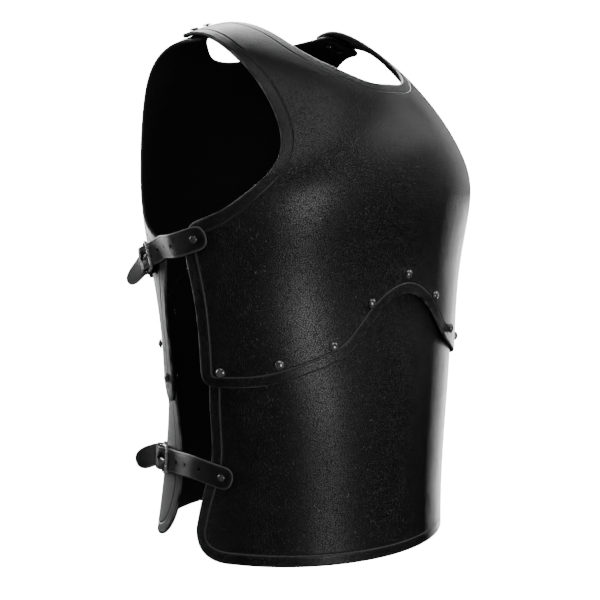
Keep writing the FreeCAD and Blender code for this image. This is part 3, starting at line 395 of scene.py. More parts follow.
def metalMaterial(name, look):
    # blackened metal with rubbed high spots and fine scratches
    material, nodes, links, shader = newMaterial(name)
    where = addNode(nodes, "ShaderNodeTexCoord").outputs["Object"]
    patches = noiseOn(nodes, links, where, look["patchesPerMetre"], 5.0).outputs["Fac"]
    links.new(rampBetween(nodes, links, patches, (0.35, look["dark"]), (0.75, look["light"])),
              shader.inputs["Base Color"])
    links.new(rangeOn(nodes, links, patches, "To", look["roughness"]), shader.inputs["Roughness"])
    marks = noiseOn(nodes, links, where, look["patchesPerMetre"] * look["markScale"], 2.0)
    dents = addNode(nodes, "ShaderNodeBump", in_Strength=look["dentStrength"], in_Distance=look["dentDepth"])
    links.new(marks.outputs["Fac"], dents.inputs["Height"])
    links.new(dents.outputs["Normal"], shader.inputs["Normal"])
    shader.inputs["Metallic"].default_value = look["metallic"]
    shader.inputs["Coat Weight"].default_value = look["coat"]
    shader.inputs["Coat Roughness"].default_value = look["coatRoughness"]
    return material


rivetLook = {"dark": (0.10, 0.10, 0.103), "light": (0.42, 0.42, 0.43), "roughness": (0.14, 0.28),
             "metallic": 0.85, "coat": 0.3, "coatRoughness": 0.15, "patchesPerMetre": 300.0,
             "markScale": 6, "dentStrength": 0.12, "dentDepth": 0.0002}
rivetMetal = metalMaterial("rivetMetal", rivetLook)
buckleMetal = metalMaterial("buckleMetal", dict(rivetLook, patchesPerMetre=400.0, dark=(0.22, 0.22, 0.225),
                                                light=(0.55, 0.55, 0.56), roughness=(0.18, 0.34),
                                                metallic=0.6, coat=0.25))
print("materials made")


# How the panels are meshed: points in one batch, how close ring points may come, how far a ring may stray.
panelWork = {"batch": 4000, "crowd": 0.25, "ringShare": 0.12, "ringSlack": 0.02, "snap": 1e-5, "merge": 1e-7}


def distanceTo(points, loops):
    # shortest way from each point to the cut edges
    best, batch = np.full(len(points), 1e9), panelWork["batch"]
    for loop in loops:
        a, b = loop, np.roll(loop, -1, axis=0)
        edge = b - a
        size = (edge ** 2).sum(1)
        for start in range(0, len(points), batch):
            part = points[start:start + batch, None, :] - a[None]
            t = np.clip((part * edge[None]).sum(2) / size[None], 0, 1)
            gap = np.linalg.norm(part - t[..., None] * edge[None], axis=2).min(1)
            best[start:start + batch] = np.minimum(best[start:start + batch], gap)
    return best


def insideLoop(points, loop):
    result, batch = np.zeros(len(points), bool), panelWork["batch"]
    a, b = loop, np.roll(loop, -1, axis=0)
    for start in range(0, len(points), batch):
        p = points[start:start + batch]
        crosses = (a[None, :, 1] > p[:, None, 1]) != (b[None, :, 1] > p[:, None, 1])
        with np.errstate(divide="ignore", invalid="ignore"):
            meet = (b[None, :, 0] - a[None, :, 0]) * (p[:, None, 1] - a[None, :, 1]) / (
                b[None, :, 1] - a[None, :, 1]) + a[None, :, 0]
        result[start:start + batch] = (crosses & (p[:, None, 0] < meet)).sum(1) % 2 == 1
    return result


def inLeather(points, loops):
    # inside the outer loop and outside every hole
    keep = insideLoop(points, loops[0])
    for hole in loops[1:]:
        keep &= ~insideLoop(points, hole)
    return keep


def awayFromLeather(loop, isOuter):
    # for each point of a loop, the way that leads off the leather
    ahead = np.roll(loop, -1, axis=0) - np.roll(loop, 1, axis=0)
    side = np.stack([ahead[:, 1], -ahead[:, 0]], -1)
    side /= np.linalg.norm(side, axis=1, keepdims=True)
    area = (loop[:, 0] * np.roll(loop[:, 1], -1) - loop[:, 1] * np.roll(loop[:, 0], -1)).sum()
    return side * (1 if (area > 0) == isOuter else -1)


def panelPoints(loops, rings, gridStep, gridStart):
    # the cut edges, rings that follow them inwards, and a plain grid in the middle
    marked = []
    for number, loop in enumerate(loops):
        inwards = -awayFromLeather(loop, number == 0)
        for ring in rings:
            moved = loop + inwards * ring
            stray = np.abs(distanceTo(moved, loops) - ring)
            near = stray < panelWork["ringShare"] * ring + panelWork["ringSlack"]
            marked.append(moved[near & inLeather(moved, loops)])
    low, high = loops[0].min(0), loops[0].max(0)
    gridX, gridY = np.meshgrid(np.arange(low[0], high[0], gridStep), np.arange(low[1], high[1], gridStep))
    gridX = gridX + (np.arange(len(gridX)) % 2)[:, None] * gridStep / 2
    grid = np.stack([gridX.ravel(), gridY.ravel()], -1)
    grid = grid[inLeather(grid, loops)]
    grid = grid[distanceTo(grid, loops) > gridStart]
    # rings of neighbouring edges may meet: drop points that crowd each other
    ringPoints = np.concatenate(marked)
    order = np.round(ringPoints / panelWork["crowd"]).astype(int)
    ringPoints = ringPoints[np.sort(np.unique(order, axis=0, return_index=True)[1])]
    return np.concatenate(list(loops) + [ringPoints, grid])


# The leather rises a little beside a crease, with a painted highlight along it; widths are in crease widths.
creaseShape = {"lipHeight": 0.22, "lipWidth": 2.4, "highlightWidth": 0.85}


def addMarks(mesh, **marks):
    # values at the mesh's points that the leather's material reads
    for key, values in marks.items():
        attribute = mesh.attributes.new(key, "FLOAT", "POINT")
        attribute.data.foreach_set("value", values.astype(np.float32))


def linked(name, mesh):
    piece = bpy.data.objects.new(name, mesh)
    bpy.context.scene.collection.objects.link(piece)
    return piece


def leatherPanel(name, place, loops, cut):
    # a closed sheet of leather: two skins with rounded cut edges, shaped by place(across, up, height)
    points = panelPoints(loops, cut["rings"], cut["gridStep"], cut["gridStart"])
    edges, start = [], 0
    for loop in loops:
        edges += [(start + k, start + (k + 1) % len(loop)) for k in range(len(loop))]
        start += len(loop)
    made = delaunay_2d_cdt([Vector(p) for p in points], edges, [], 0, panelWork["snap"])
    flat = np.array([(v.x, v.y) for v in made[0]])
    faces = np.array([list(f) for f in made[2]])
    found = {}
    for index, sources in enumerate(made[3]):
        for source in sources:
            found[source] = index
    faces = faces[inLeather(flat[faces].mean(1), loops)]
    away = distanceTo(flat, loops)

    rounding = cut["rounding"]
    near = np.clip(rounding - away, 0, rounding)
    drop = rounding - np.sqrt(np.maximum(rounding ** 2 - near ** 2, 0))
    offset, depth = (away - cut["creasePlace"]) / cut["creaseWidth"], cut["creaseDepth"]
    lip = depth * creaseShape["lipHeight"] * np.exp(-(offset / creaseShape["lipWidth"]) ** 2)
    groove = -depth * np.exp(-offset ** 2) + lip
    # painted highlight along the crease, brighter low on the sides and fading up towards the neck
    crease = np.exp(-(offset / creaseShape["highlightWidth"]) ** 2)
    top = place(flat[:, 0], flat[:, 1], cut["top"] - drop + groove)
    if "creaseFade" in cut:
        low, high, least = cut["creaseFade"]
        crease = crease * np.interp(top[:, 2], (low, high), (1, least))
    under = place(flat[:, 0], flat[:, 1], cut["top"] - cut["thickness"] + drop)
    count = len(flat)
    verts = [top, under]
    skin = [tuple(f) for f in faces]
    facing = np.cross(top[faces[:, 1]] - top[faces[:, 0]], top[faces[:, 2]] - top[faces[:, 0]])
    towards = (top - under)[faces[:, 0]]
    if (facing * towards).sum() < 0:
        skin = [f[::-1] for f in skin]
    allFaces = skin + [tuple(i + count for i in f[::-1]) for f in skin]
    slots = [0] * len(skin) + [1] * len(skin)
    rimStart, start = 2 * count, 0
    for number, loop in enumerate(loops):
        ids = [found[start + k] for k in range(len(loop))]
        start += len(loop)
        bulged = loop + awayFromLeather(loop, number == 0) * cut["edgeSwell"]
        half = np.full(len(loop), cut["top"] - cut["thickness"] / 2)
        verts.append(place(bulged[:, 0], bulged[:, 1], half))
        for k in range(len(loop)):
            n = (k + 1) % len(loop)
            allFaces.append((ids[k], ids[n], rimStart + n, rimStart + k))
            allFaces.append((rimStart + k, rimStart + n, ids[n] + count, ids[k] + count))
            slots += [2, 2]
        rimStart += len(loop)
    verts = np.concatenate(verts) * mm
    if cut.get("onFloor"):
        verts[:, 2] = np.maximum(verts[:, 2], 0.0)  # the swollen hem stays above the floor
    mesh = bpy.data.meshes.new(name)
    mesh.from_pydata(verts.tolist(), [], allFaces)
    rimCount = len(verts) - 2 * count
    # only the outer edge gets wear and a painted edge highlight, the holes do not
    rub = np.exp(-(distanceTo(flat, loops[:1]) / cut["rubReach"]) ** 2)
    rimWearAndSheen = np.arange(rimCount) < len(loops[0])
    addMarks(mesh, crease=np.concatenate([crease, np.zeros(count + rimCount)]),
             rub=np.concatenate([rub, rub, rimWearAndSheen]))
    for material in cut["materials"]:
        mesh.materials.append(material)
    mesh.polygons.foreach_set("material_index", slots)
    work = bmesh.new()
    work.from_mesh(mesh)
    bmesh.ops.remove_doubles(work, verts=work.verts, dist=panelWork["merge"])
    bmesh.ops.recalc_face_normals(work, faces=work.faces)
    if work.calc_volume(signed=True) < 0:
        bmesh.ops.reverse_faces(work, faces=work.faces)
    work.to_mesh(mesh)
    work.free()
    mesh.polygons.foreach_set("use_smooth", [True] * len(mesh.polygons))
    return linked(name, mesh)


plateCut = {
    "rings": (0.3, 0.8, 1.5, 2.6, 4.6, 7.0, 9.0, 9.7, 10.1, 10.5, 10.9, 11.3, 12.0, 13.6, 17.0),
    "gridStep": 6.0, "gridStart": 20.0, "rounding": 1.4, "edgeSwell": 0.1, "rubReach": 1.0,
    "creasePlace": 10.5, "creaseWidth": 0.65, "creaseDepth": 0.8,
    "creaseFade": (240.0, 330.0, 0.3),  # between these heights the crease's painted highlight fades to this share
    "thickness": leather["plate"], "materials": (plateLeather, fleshSide, cutEdge),
}
overTop = leather["plate"] / 2
underTop = -leather["plate"] / 2 - leather["lap"]
plates = {
    "chestPlate": ("front_chest_plate", "front", frontForm, chestOutline, overTop, False),
    "bellyPlate": ("front_belly_plate", "front", frontForm, bellyOutline, underTop, True),
    "upperBackPlate": ("back_upper_plate", "back", backForm, upperBackOutline, overTop, False),
    "lowerBackPlate": ("back_lower_plate", "back", backForm, lowerBackOutline, underTop, True),
}
for name, (node, body, form, outline, top, onFloor) in plates.items():
    piece = leatherPanel(name, form["lifted"], [mirroredLoop(form, outline)],
                         dict(plateCut, top=top, onFloor=onFloor))
    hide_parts(node)
    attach(piece, body)
    print(name, "made,", len(piece.data.polygons), "faces")


def turnedShape(name, profile, sides=24):
    # a closed turned shape from (radius, height) pairs, first and last on the axis
    work = bmesh.new()
    rows = []
    for radius, height in profile:
        if radius == 0:
            rows.append([work.verts.new((0, 0, height * mm))])
        else:
            turns = [2 * math.pi * k / sides for k in range(sides)]
            rows.append([work.verts.new((radius * math.cos(turn) * mm, radius * math.sin(turn) * mm,
                                         height * mm)) for turn in turns])
    for low, high in zip(rows, rows[1:]):
        for k in range(sides):
            n = (k + 1) % sides
            corners = [low[k % len(low)], low[n % len(low)], high[n % len(high)], high[k % len(high)]]
            unique = [v for i, v in enumerate(corners) if v not in corners[:i]]
            work.faces.new(unique)
    bmesh.ops.recalc_face_normals(work, faces=work.faces)
    mesh = bpy.data.meshes.new(name)
    work.to_mesh(mesh)
    work.free()
    mesh.polygons.foreach_set("use_smooth", [True] * len(mesh.polygons))
    return bpy.data.objects.new(name, mesh)


burrRing = ((-0.2, 0), (0, 0.2), (0, 0.7), (-0.3, 0.9))  # past the burr's edge, and down from the leather
burrHollow = ((0.8, 0.9), (0.4, 0.6), (0, 0.6))  # shares of the shank, and down from the leather
domeDeg, domeRows, rimFoot = (6, 80), 6, 0.35


def rivetProfile(rivet, grip):
    # washer-like rim, domed head, shank and the burr inside
    head, rise, shank = rivet["head"] / 2, rivet["rise"], rivet["shank"] / 2
    rim = rivet["rim"]
    dome = [(head * math.cos(turn), rim + (rise - rim) * math.sin(turn))
            for turn in np.radians(np.linspace(*domeDeg, domeRows))]
    profile = [(0, rise)] + dome[::-1]
    profile += [(head, rim), (head, rim * rimFoot), (head - rim * rimFoot, 0), (shank, 0), (shank, -grip)]
    profile += [(shank + rivet["burr"] + past, -grip - down) for past, down in burrRing]
    return profile + [(shank * share, -grip - down) for share, down in burrHollow]


rivetSpin = {"turn": 6.283, "seed": 7}  # each rivet is turned about its own axis by chance


def rivetTree():
    # instances of one rivet, each turned to the leather's own normal
    tree = bpy.data.node_groups.new("rivetRow", "GeometryNodeTree")
    for title, kind in (("Geometry", "Geometry"), ("Rivet", "Object"), ("Rivet Size", "Float"),
                        ("Finish", "Material")):
        tree.interface.new_socket(title, in_out="INPUT", socket_type="NodeSocket" + kind)
    tree.interface.new_socket("Geometry", in_out="OUTPUT", socket_type="NodeSocketGeometry")
    nodes, links = tree.nodes, tree.links
    given, result = nodes.new("NodeGroupInput"), nodes.new("NodeGroupOutput")
    shape = nodes.new("GeometryNodeObjectInfo")
    outward = nodes.new("GeometryNodeInputNamedAttribute")
    outward.data_type = "FLOAT_VECTOR"
    outward.inputs["Name"].default_value = "outward"
    turned = nodes.new("FunctionNodeAlignRotationToVector")
    turned.axis = "Z"
    spin = nodes.new("FunctionNodeRandomValue")
    spin.data_type = "FLOAT"
    spin.inputs[3].default_value = rivetSpin["turn"]
    spin.inputs["Seed"].default_value = rivetSpin["seed"]
    spinAxis = nodes.new("ShaderNodeCombineXYZ")
    spinEuler = nodes.new("FunctionNodeEulerToRotation")
    rotated = nodes.new("FunctionNodeRotateRotation")
    rotated.rotation_space = "LOCAL"
    placed = nodes.new("GeometryNodeInstanceOnPoints")
    real = nodes.new("GeometryNodeRealizeInstances")
    finish = nodes.new("GeometryNodeSetMaterial")
    for source, output, goal, entry in (
            (given, "Rivet", shape, "Object"), (outward, "Attribute", turned, "Vector"),
            (spin, 1, spinAxis, "Z"), (spinAxis, "Vector", spinEuler, "Euler"),
            (turned, "Rotation", rotated, "Rotation"), (spinEuler, "Rotation", rotated, "Rotate By"),
            (given, "Geometry", placed, "Points"), (shape, "Geometry", placed, "Instance"),
            (rotated, "Rotation", placed, "Rotation"), (given, "Rivet Size", placed, "Scale"),
            (placed, "Instances", real, "Geometry"), (real, "Geometry", finish, "Geometry"),
            (given, "Finish", finish, "Material"), (finish, "Geometry", result, "Geometry")):
        links.new(source.outputs[output], goal.inputs[entry])
    return tree


rivetRow = rivetTree()
sharpDeg = {"rivet": 38, "keeper": 50}


def rivetPiece(name, node, body, places, rivet, grip):
    # places are (point, outward) pairs; the head sits on the point
    points = bpy.data.meshes.new(name + "Points")
    points.from_pydata([tuple(np.asarray(p) * mm) for p, n in places], [], [])
    outward = points.attributes.new("outward", "FLOAT_VECTOR", "POINT")
    outward.data.foreach_set("vector", np.concatenate([n for p, n in places]).astype(np.float32))
    carrier = linked(name + "Row", points)
    shape = turnedShape(name + "Shape", rivetProfile(rivet, grip))
    bpy.context.scene.collection.objects.link(shape)
    rows = carrier.modifiers.new("rivets", "NODES")
    rows.node_group = rivetRow
    sockets = {item.name: item.identifier for item in rivetRow.interface.items_tree
               if item.in_out == "INPUT"}
    rows[sockets["Rivet"]] = shape
    rows[sockets["Rivet Size"]] = 1.0
    rows[sockets["Finish"]] = rivetMetal
    bpy.context.view_layer.update()
    settled = carrier.evaluated_get(bpy.context.evaluated_depsgraph_get())
    mesh = bpy.data.meshes.new_from_object(settled)
    bpy.data.objects.remove(carrier)
    bpy.data.objects.remove(shape)
    mesh.set_sharp_from_angle(angle=math.radians(sharpDeg["rivet"]))
    piece = linked(name, mesh)
    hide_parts(node)
    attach(piece, body)


bigRivet = {"head": 9.0, "rise": 3.4, "rim": 0.5, "shank": 3.2, "burr": 1.6}
shoulderRivet = dict(bigRivet, rise=1.8)
smallRivet = {"head": 7.0, "rise": 1.5, "rim": 0.4, "shank": 2.4, "burr": 1.6}
waistRows = {
    "frontRivets": ("front_waist_rivets", "front", frontForm,
                    ((0, 0.4188), (0.203, 0.381), (0.382, 0.325), (0.5935, 0.306), (0.805, 0.300))),
    "backRivets": ("back_waist_rivets", "back", backForm,
                   ((0, 0.424), (0.20, 0.407), (0.40, 0.366), (0.575, 0.322), (0.688, 0.2765))),
}
for name, (node, body, form, shares) in waistRows.items():
    places = []
    for share in shares:
        for side in ((1,) if share[0] == 0 else (-1, 1)):
            across, up = side * share[0] * form["girth"], share[1] * form["length"]
            places.append((form["lifted"](across, up, overTop + leather["seat"]), form["normal"](across, up)))
    grip = overTop - underTop + leather["plate"] + 2 * leather["seat"]
    rivetPiece(name, node, body, places, bigRivet, grip)
shoulder = {"across": (0.374, 0.451), "up": 0.9735, "play": 0.45, "grip": 10.2}
for side, sideName in ((-1, "right"), (1, "left")):
    places = []
    for share in shoulder["across"]:
        across, up = side * share * frontForm["girth"], shoulder["up"] * frontForm["length"]
        places.append((frontForm["lifted"](across, up, overTop + shoulder["play"]),
                       frontForm["normal"](across, up)))
    rivetPiece(sideName + "ShoulderRivets", sideName + "_shoulder_rivets", "back", places, shoulderRivet,
               shoulder["grip"])
print("rivets set")


# Straps, tabs and keepers lie on the same routes as the frame's own ones do.
fitting = {
    "width": 22.0, "frontEnd": 11.0, "lieGap": 0.5, "tipRounding": 16.0,
    "frontLie": {"upper": 12.0, "lower": 22.0}, "backLie": {"upper": 21.0, "lower": 15.0},
    "frontFallDeg": {"upper": 22.0, "lower": -12.0}, "backFallDeg": {"upper": 13.0, "lower": 9.0},
    "frontShares": {"upper": (0.919, 0.456), "lower": (0.800, 0.130)},
    "backShares": {"upper": (0.727, 0.463), "lower": (0.642, 0.1475)},
    "hole": 3.0, "holePitch": 25.4, "spareHoles": 3, "slotLength": 13.0, "slotHeel": 0.6, "slotFoot": 0.5,
    "wire": 2.6, "reach": 16.0, "tipBarGap": 0.5, "tipPlateGap": 0.6, "prongWire": 2.0, "pivot": 0.15,
    "wrap": 0.2, "tabSlot": 0.5, "tabLength": 49.0, "tabRounding": 6.6, "tabRivetPlace": 33.5,
    "tabRivetPitch": 9.5,
    "keeperWidth": 8.0, "keeperPlace": 14.0, "keeperSlide": 2.5, "keeperGap": 0.4, "keeperPlay": 0.5,
    "keeperCorner": 1.5,
    # where the free tip bends to: shares of the width along, out and down, and its turn and opening
    "tipShares": {"upper": ((0.25, 0.05, 0.04), (0.49, 0.21, 0.17), (0.65, 0.44, 0.37), (0.73, 0.68, 0.61)),
                  "lower": ((0.32, 0.06, 0.04), (0.62, 0.29, 0.16), (0.84, 0.62, 0.34), (1.00, 1.00, 0.55))},
    "tipTurnDeg": {"upper": ((7, 4), (24, 13), (41, 24), (52, 31)),
                   "lower": ((3, 20), (9, 30), (16, 42), (22, 50))},
}
# heights of the middle of each layer of leather over the plate, and of the hinge bar
plateTop = {"upper": overTop, "lower": underTop}
seat, halfStrap, barWire = leather["seat"], fitting["width"] / 2, fitting["wire"]
strapSeat = seat + leather["strap"] / 2
strapLie = fitting["lieGap"] + leather["strap"] / 2
barHeight = fitting["tipPlateGap"] + leather["strap"] + fitting["tipBarGap"] + barWire / 2
wrapRadius = barWire / 2 + fitting["wrap"] + leather["tab"] / 2
lowLayer = seat + leather["tab"] / 2
keeperLow = lowLayer + leather["tab"] / 2 + fitting["keeperGap"]
highLayer = keeperLow + leather["keeper"] + fitting["keeperGap"] + leather["tab"] / 2
closedLayer = lowLayer + leather["tab"] + seat
strapInKeeper = highLayer + leather["tab"] / 2 + fitting["keeperGap"] + leather["strap"] / 2
strapOnBar = barHeight + barWire / 2 + fitting["prongWire"] + 2 * fitting["pivot"] + leather["strap"] / 2
strapUnderTip = fitting["tipPlateGap"] + leather["strap"] / 2
keeperTop = strapInKeeper + leather["strap"] / 2 + fitting["keeperPlay"]
keeperHalf = fitting["keeperWidth"] / 2


def unit(vector):
    return vector / np.linalg.norm(vector, axis=-1, keepdims=True)


class StrapSpot:
    # a place on a form: along runs towards the middle of the back, out looks away from the leather
    def __init__(self, form, side, shares, fallDeg, height):
        self.form, self.side, self.fall, self.height = form, side, math.radians(fallDeg), height
        self.across, self.up = shares[0] * form["girth"], shares[1] * form["length"]

    def moved(self, run):
        across = self.across + self.form["facing"] * run * math.cos(self.fall)
        return self.side * across, self.up - run * math.sin(self.fall)

    def point(self, run, height):
        return self.form["lifted"](*self.moved(run), self.height + height)

    def directions(self, run, step=formWork["slopeStep"]):
        out = self.form["normal"](*self.moved(run))
        along = self.form["at"](*self.moved(run + step)) - self.form["at"](*self.moved(run - step))
        along = unit(along - out * along.dot(out))
        return along, np.cross(out, along), out

    def wide(self, run):
        across = self.directions(run)[1]
        return across if across[2] > 0 else -across

    def stop(self, run, height):
        return self.point(run, height), self.wide(run), self.directions(run)[2]


routeStep = 0.0005  # share of a route over which its direction is read


class StrapRoute:
    # a strip of leather along its stops: point, width direction and the way that its face looks
    def __init__(self, stops, folded=False):
        points = np.array([stop[0] for stop in stops])
        self.folded = folded
        self.marks = np.concatenate([[0], np.cumsum(np.linalg.norm(np.diff(points, axis=0), axis=1))])
        self.end = self.marks[-1]
        self.curves = [splineThrough(self.marks, np.array([stop[k] for stop in stops])) for k in range(3)]

    def frame(self, mark):
        step = self.end * routeStep
        run = unit(self.curves[0](mark + step) - self.curves[0](mark - step))
        wide = self.curves[1](mark)
        wide = unit(wide - run * (wide * run).sum(-1, keepdims=True))
        face = np.cross(run, wide)
        if not self.folded:
            face = face * np.where((face * self.curves[2](mark)).sum(-1, keepdims=True) < 0, -1, 1)
        return self.curves[0](mark), run, wide, face

    def lifted(self, mark, wideBy, height):
        mark, wideBy, height = np.broadcast_arrays(np.asarray(mark, float), wideBy, height)
        point, run, wide, face = self.frame(mark)
        return point + wide * wideBy[..., None] + face * height[..., None]


def stripLoop(end, half, startRound, endRound, gap):
    # outline of a strip with rounded ends, anticlockwise
    return joined([
        evenly(np.array([(startRound, -half), (end - endRound, -half)]), gap),
        cornerLine([(end - endRound, -half), (end, -half), (end, 0)], gap),
        cornerLine([(end, 0), (end, half), (end - endRound, half)], gap),
        evenly(np.array([(end - endRound, half), (startRound, half)]), gap),
        cornerLine([(startRound, half), (0, half), (0, 0)], gap),
        cornerLine([(0, 0), (0, -half), (startRound, -half)], gap)])


def slotLoop(start, end, half, count=8, closest=1e-3):
    # a slot with round ends, or a round hole where start and end are one
    turns = np.linspace(-math.pi / 2, math.pi / 2, count)
    right = np.stack([end + half * np.cos(turns), half * np.sin(turns)], -1)
    left = np.stack([start - half * np.cos(turns), -half * np.sin(turns)], -1)
    whole = np.concatenate([right, left])
    return whole[np.linalg.norm(whole - np.roll(whole, 1, axis=0), axis=1) > closest]


strapCut = {"rings": (0.25, 0.7, 1.2, 1.8, 2.2, 2.6, 3.0, 3.6), "gridStep": 1.7, "gridStart": 4.2,
            "edgeStep": 1.2, "edgeSwell": 0.12, "creasePlace": 2.4, "creaseWidth": 0.38, "creaseDepth": 0.32,
            "rubReach": 0.9, "rounding": 0.9, "thickness": leather["strap"], "top": leather["strap"] / 2,
            "materials": (strapLeather, fleshSide, cutEdge)}
tabCut = dict(strapCut, rounding=0.6, creaseDepth=0.2, gridStep=1.3, edgeStep=0.9, thickness=leather["tab"],
              top=leather["tab"] / 2, materials=(tabLeather, fleshSide, cutEdge))


# Stops of a strap's route: end of the lie on the front, start of the lie on the back, frame tip, hinge bar.
strapStop = {"frontLie": 3, "backLie": 4, "tip": 6, "bar": 10}


def strapStops(level, frontSpot, backSpot):
    frontLie, backLie, reach = fitting["frontLie"][level], fitting["backLie"][level], fitting["reach"]
    stops = [frontSpot.stop(run, strapSeat) for run in (-fitting["frontEnd"], 0, frontLie / 2, frontLie)]
    along, across, out = backSpot.directions(0)
    axle, wide = backSpot.point(0, barHeight), backSpot.wide(0)
    stops.append(backSpot.stop(-reach - backLie, strapLie))
    stops.append(backSpot.stop(-reach - backLie / 2, strapLie))
    stops += [(axle + along * run + out * (height - barHeight), wide, out)
              for run, height in easedPlaces(-reach, 0, strapUnderTip, strapOnBar)]
    for run in (-keeperHalf, keeperHalf, keeperHalf + fitting["keeperSlide"]):
        stops.append(backSpot.stop(fitting["keeperPlace"] + run, strapInKeeper))
    lastRun = fitting["keeperPlace"] + keeperHalf + fitting["keeperSlide"]
    along, across, out = backSpot.directions(lastRun)
    wide, last = backSpot.wide(lastRun), stops[-1][0]
    for shares, turns in zip(fitting["tipShares"][level], fitting["tipTurnDeg"][level]):
        run, rise, drop = [share * fitting["width"] for share in shares]
        turn, opening = [math.radians(angle) for angle in turns]
        flat = along * math.cos(opening) + out * math.sin(opening)
        stops.append((last + along * run + out * rise - np.array([0, 0, drop]),
                      wide * math.cos(turn) + flat * math.sin(turn), out))
    return stops


def easedPlaces(first, last, low, high):
    # a soft step from one height to the other
    return [(first + (last - first) * share, low + (high - low) * share * share * (3 - 2 * share))
            for share in (0, 0.25, 0.5, 0.75, 1)]


def tabStops(backSpot):
    along, across, out = backSpot.directions(0)
    axle, wide = backSpot.point(0, barHeight), backSpot.wide(0)
    lay, close = fitting["tabLength"], fitting["tabRivetPlace"] - halfStrap / 2
    stops = [(backSpot.point(lay * share, lowLayer), backSpot.wide(lay * share), out)
             for share in (1, 0.75, 0.5, 0.27, 0.16)]
    for angle in (-90, -60, -30, 0, 30, 60, 90):
        back, rise = wrapRadius * math.cos(math.radians(angle)), wrapRadius * math.sin(math.radians(angle))
        stops.append((axle - along * back + out * rise, wide, out))
    keeperEnd = fitting["keeperPlace"] + keeperHalf + fitting["keeperSlide"]
    top = easedPlaces(0, fitting["keeperPlace"] - keeperHalf, barHeight + wrapRadius, highLayer)[1:]
    top += easedPlaces(fitting["keeperPlace"], keeperEnd, highLayer, highLayer)[2:-1]
    top += easedPlaces(keeperEnd, close, highLayer, closedLayer)
    top += easedPlaces(close, lay, closedLayer, closedLayer)[1:]
    return stops + [(backSpot.point(run, height), backSpot.wide(run), out) for run, height in top]


keeperShape = {"cornerSteps": 6, "sideGap": 1.2, "edgeRound": 0.35, "edgeFoot": 0.3, "creasePlace": 1.5,
               "creaseHalf": 0.5, "creaseDepth": 0.18}


def keeperLoop(name, backSpot):
    # a narrow leather band round strap and tab, rounded at its corners and creased along both edges
    along, across, out = backSpot.directions(fitting["keeperPlace"])
    middle = backSpot.point(fitting["keeperPlace"], (keeperLow + leather["keeper"] + keeperTop) / 2)
    thick, corner = leather["keeper"], fitting["keeperCorner"]
    halfY = halfStrap + fitting["keeperPlay"] + thick / 2
    layers = leather["tab"] + leather["strap"]
    halfZ = (layers + 2 * fitting["keeperGap"] + fitting["keeperPlay"] + thick) / 2
    path = []
    for number, (signY, signZ) in enumerate(((1, -1), (1, 1), (-1, 1), (-1, -1))):
        for turn in np.linspace(0, math.pi / 2, keeperShape["cornerSteps"]):
            heading = turn + (number - 1) * math.pi / 2
            outY, outZ = math.cos(heading), math.sin(heading)
            path.append((signY * (halfY - corner) + corner * outY, signZ * (halfZ - corner) + corner * outZ,
                         outY, outZ))
    whole = []
    for here, ahead in zip(path, path[1:] + path[:1]):
        here, ahead = np.array(here), np.array(ahead)
        steps = max(1, int(np.linalg.norm(ahead[:2] - here[:2]) / keeperShape["sideGap"]))
        whole += [here + (ahead - here) * k / steps for k in range(steps)]
    whole = np.array(whole)
    half, edge, crease = keeperHalf, keeperShape["edgeRound"], keeperHalf - keeperShape["creasePlace"]
    dip, top, lip = keeperShape["creaseDepth"], thick / 2, keeperShape["creaseHalf"]
    foot = edge * keeperShape["edgeFoot"]
    right = [(0, top), (crease - lip, top), (crease, top - dip), (crease + lip, top), (half - edge, top),
             (half - foot, top - foot), (half, top - edge), (half, 0), (half, edge - top),
             (half - foot, foot - top), (half - edge, -top), (0, -top)]
    section = right + [(-x, z) for x, z in right[::-1]][1:-1]
    # marks for the crease's painted highlight and for the edges' wear with their painted highlight
    creaseMark = [float(abs(x) == crease and z > 0) for x, z in section]
    rubMark = [float(abs(x) >= half - edge) for x, z in section]
    verts, faces = [], []
    for y, z, ny, nz in whole:
        for x, height in section:
            spot = middle + along * x + across * (y + ny * height) + out * (z + nz * height)
            verts.append(tuple(spot * mm))
    rows, columns = len(whole), len(section)
    for i in range(rows):
        for j in range(columns):
            n, m = (i + 1) % rows, (j + 1) % columns
            faces.append((i * columns + j, n * columns + j, n * columns + m, i * columns + m))
    mesh = bpy.data.meshes.new(name)
    mesh.from_pydata(verts, [], faces)
    addMarks(mesh, crease=np.tile(creaseMark, rows), rub=np.tile(rubMark, rows))
    mesh.materials.append(tabLeather)
    work = bmesh.new()
    work.from_mesh(mesh)
    bmesh.ops.recalc_face_normals(work, faces=work.faces)
    work.to_mesh(mesh)
    work.free()
    mesh.polygons.foreach_set("use_smooth", [True] * len(mesh.polygons))
    mesh.set_sharp_from_angle(angle=math.radians(sharpDeg["keeper"]))
    return linked(name, mesh)


tabSlotWork = {"samples": 1200, "steps": 14}

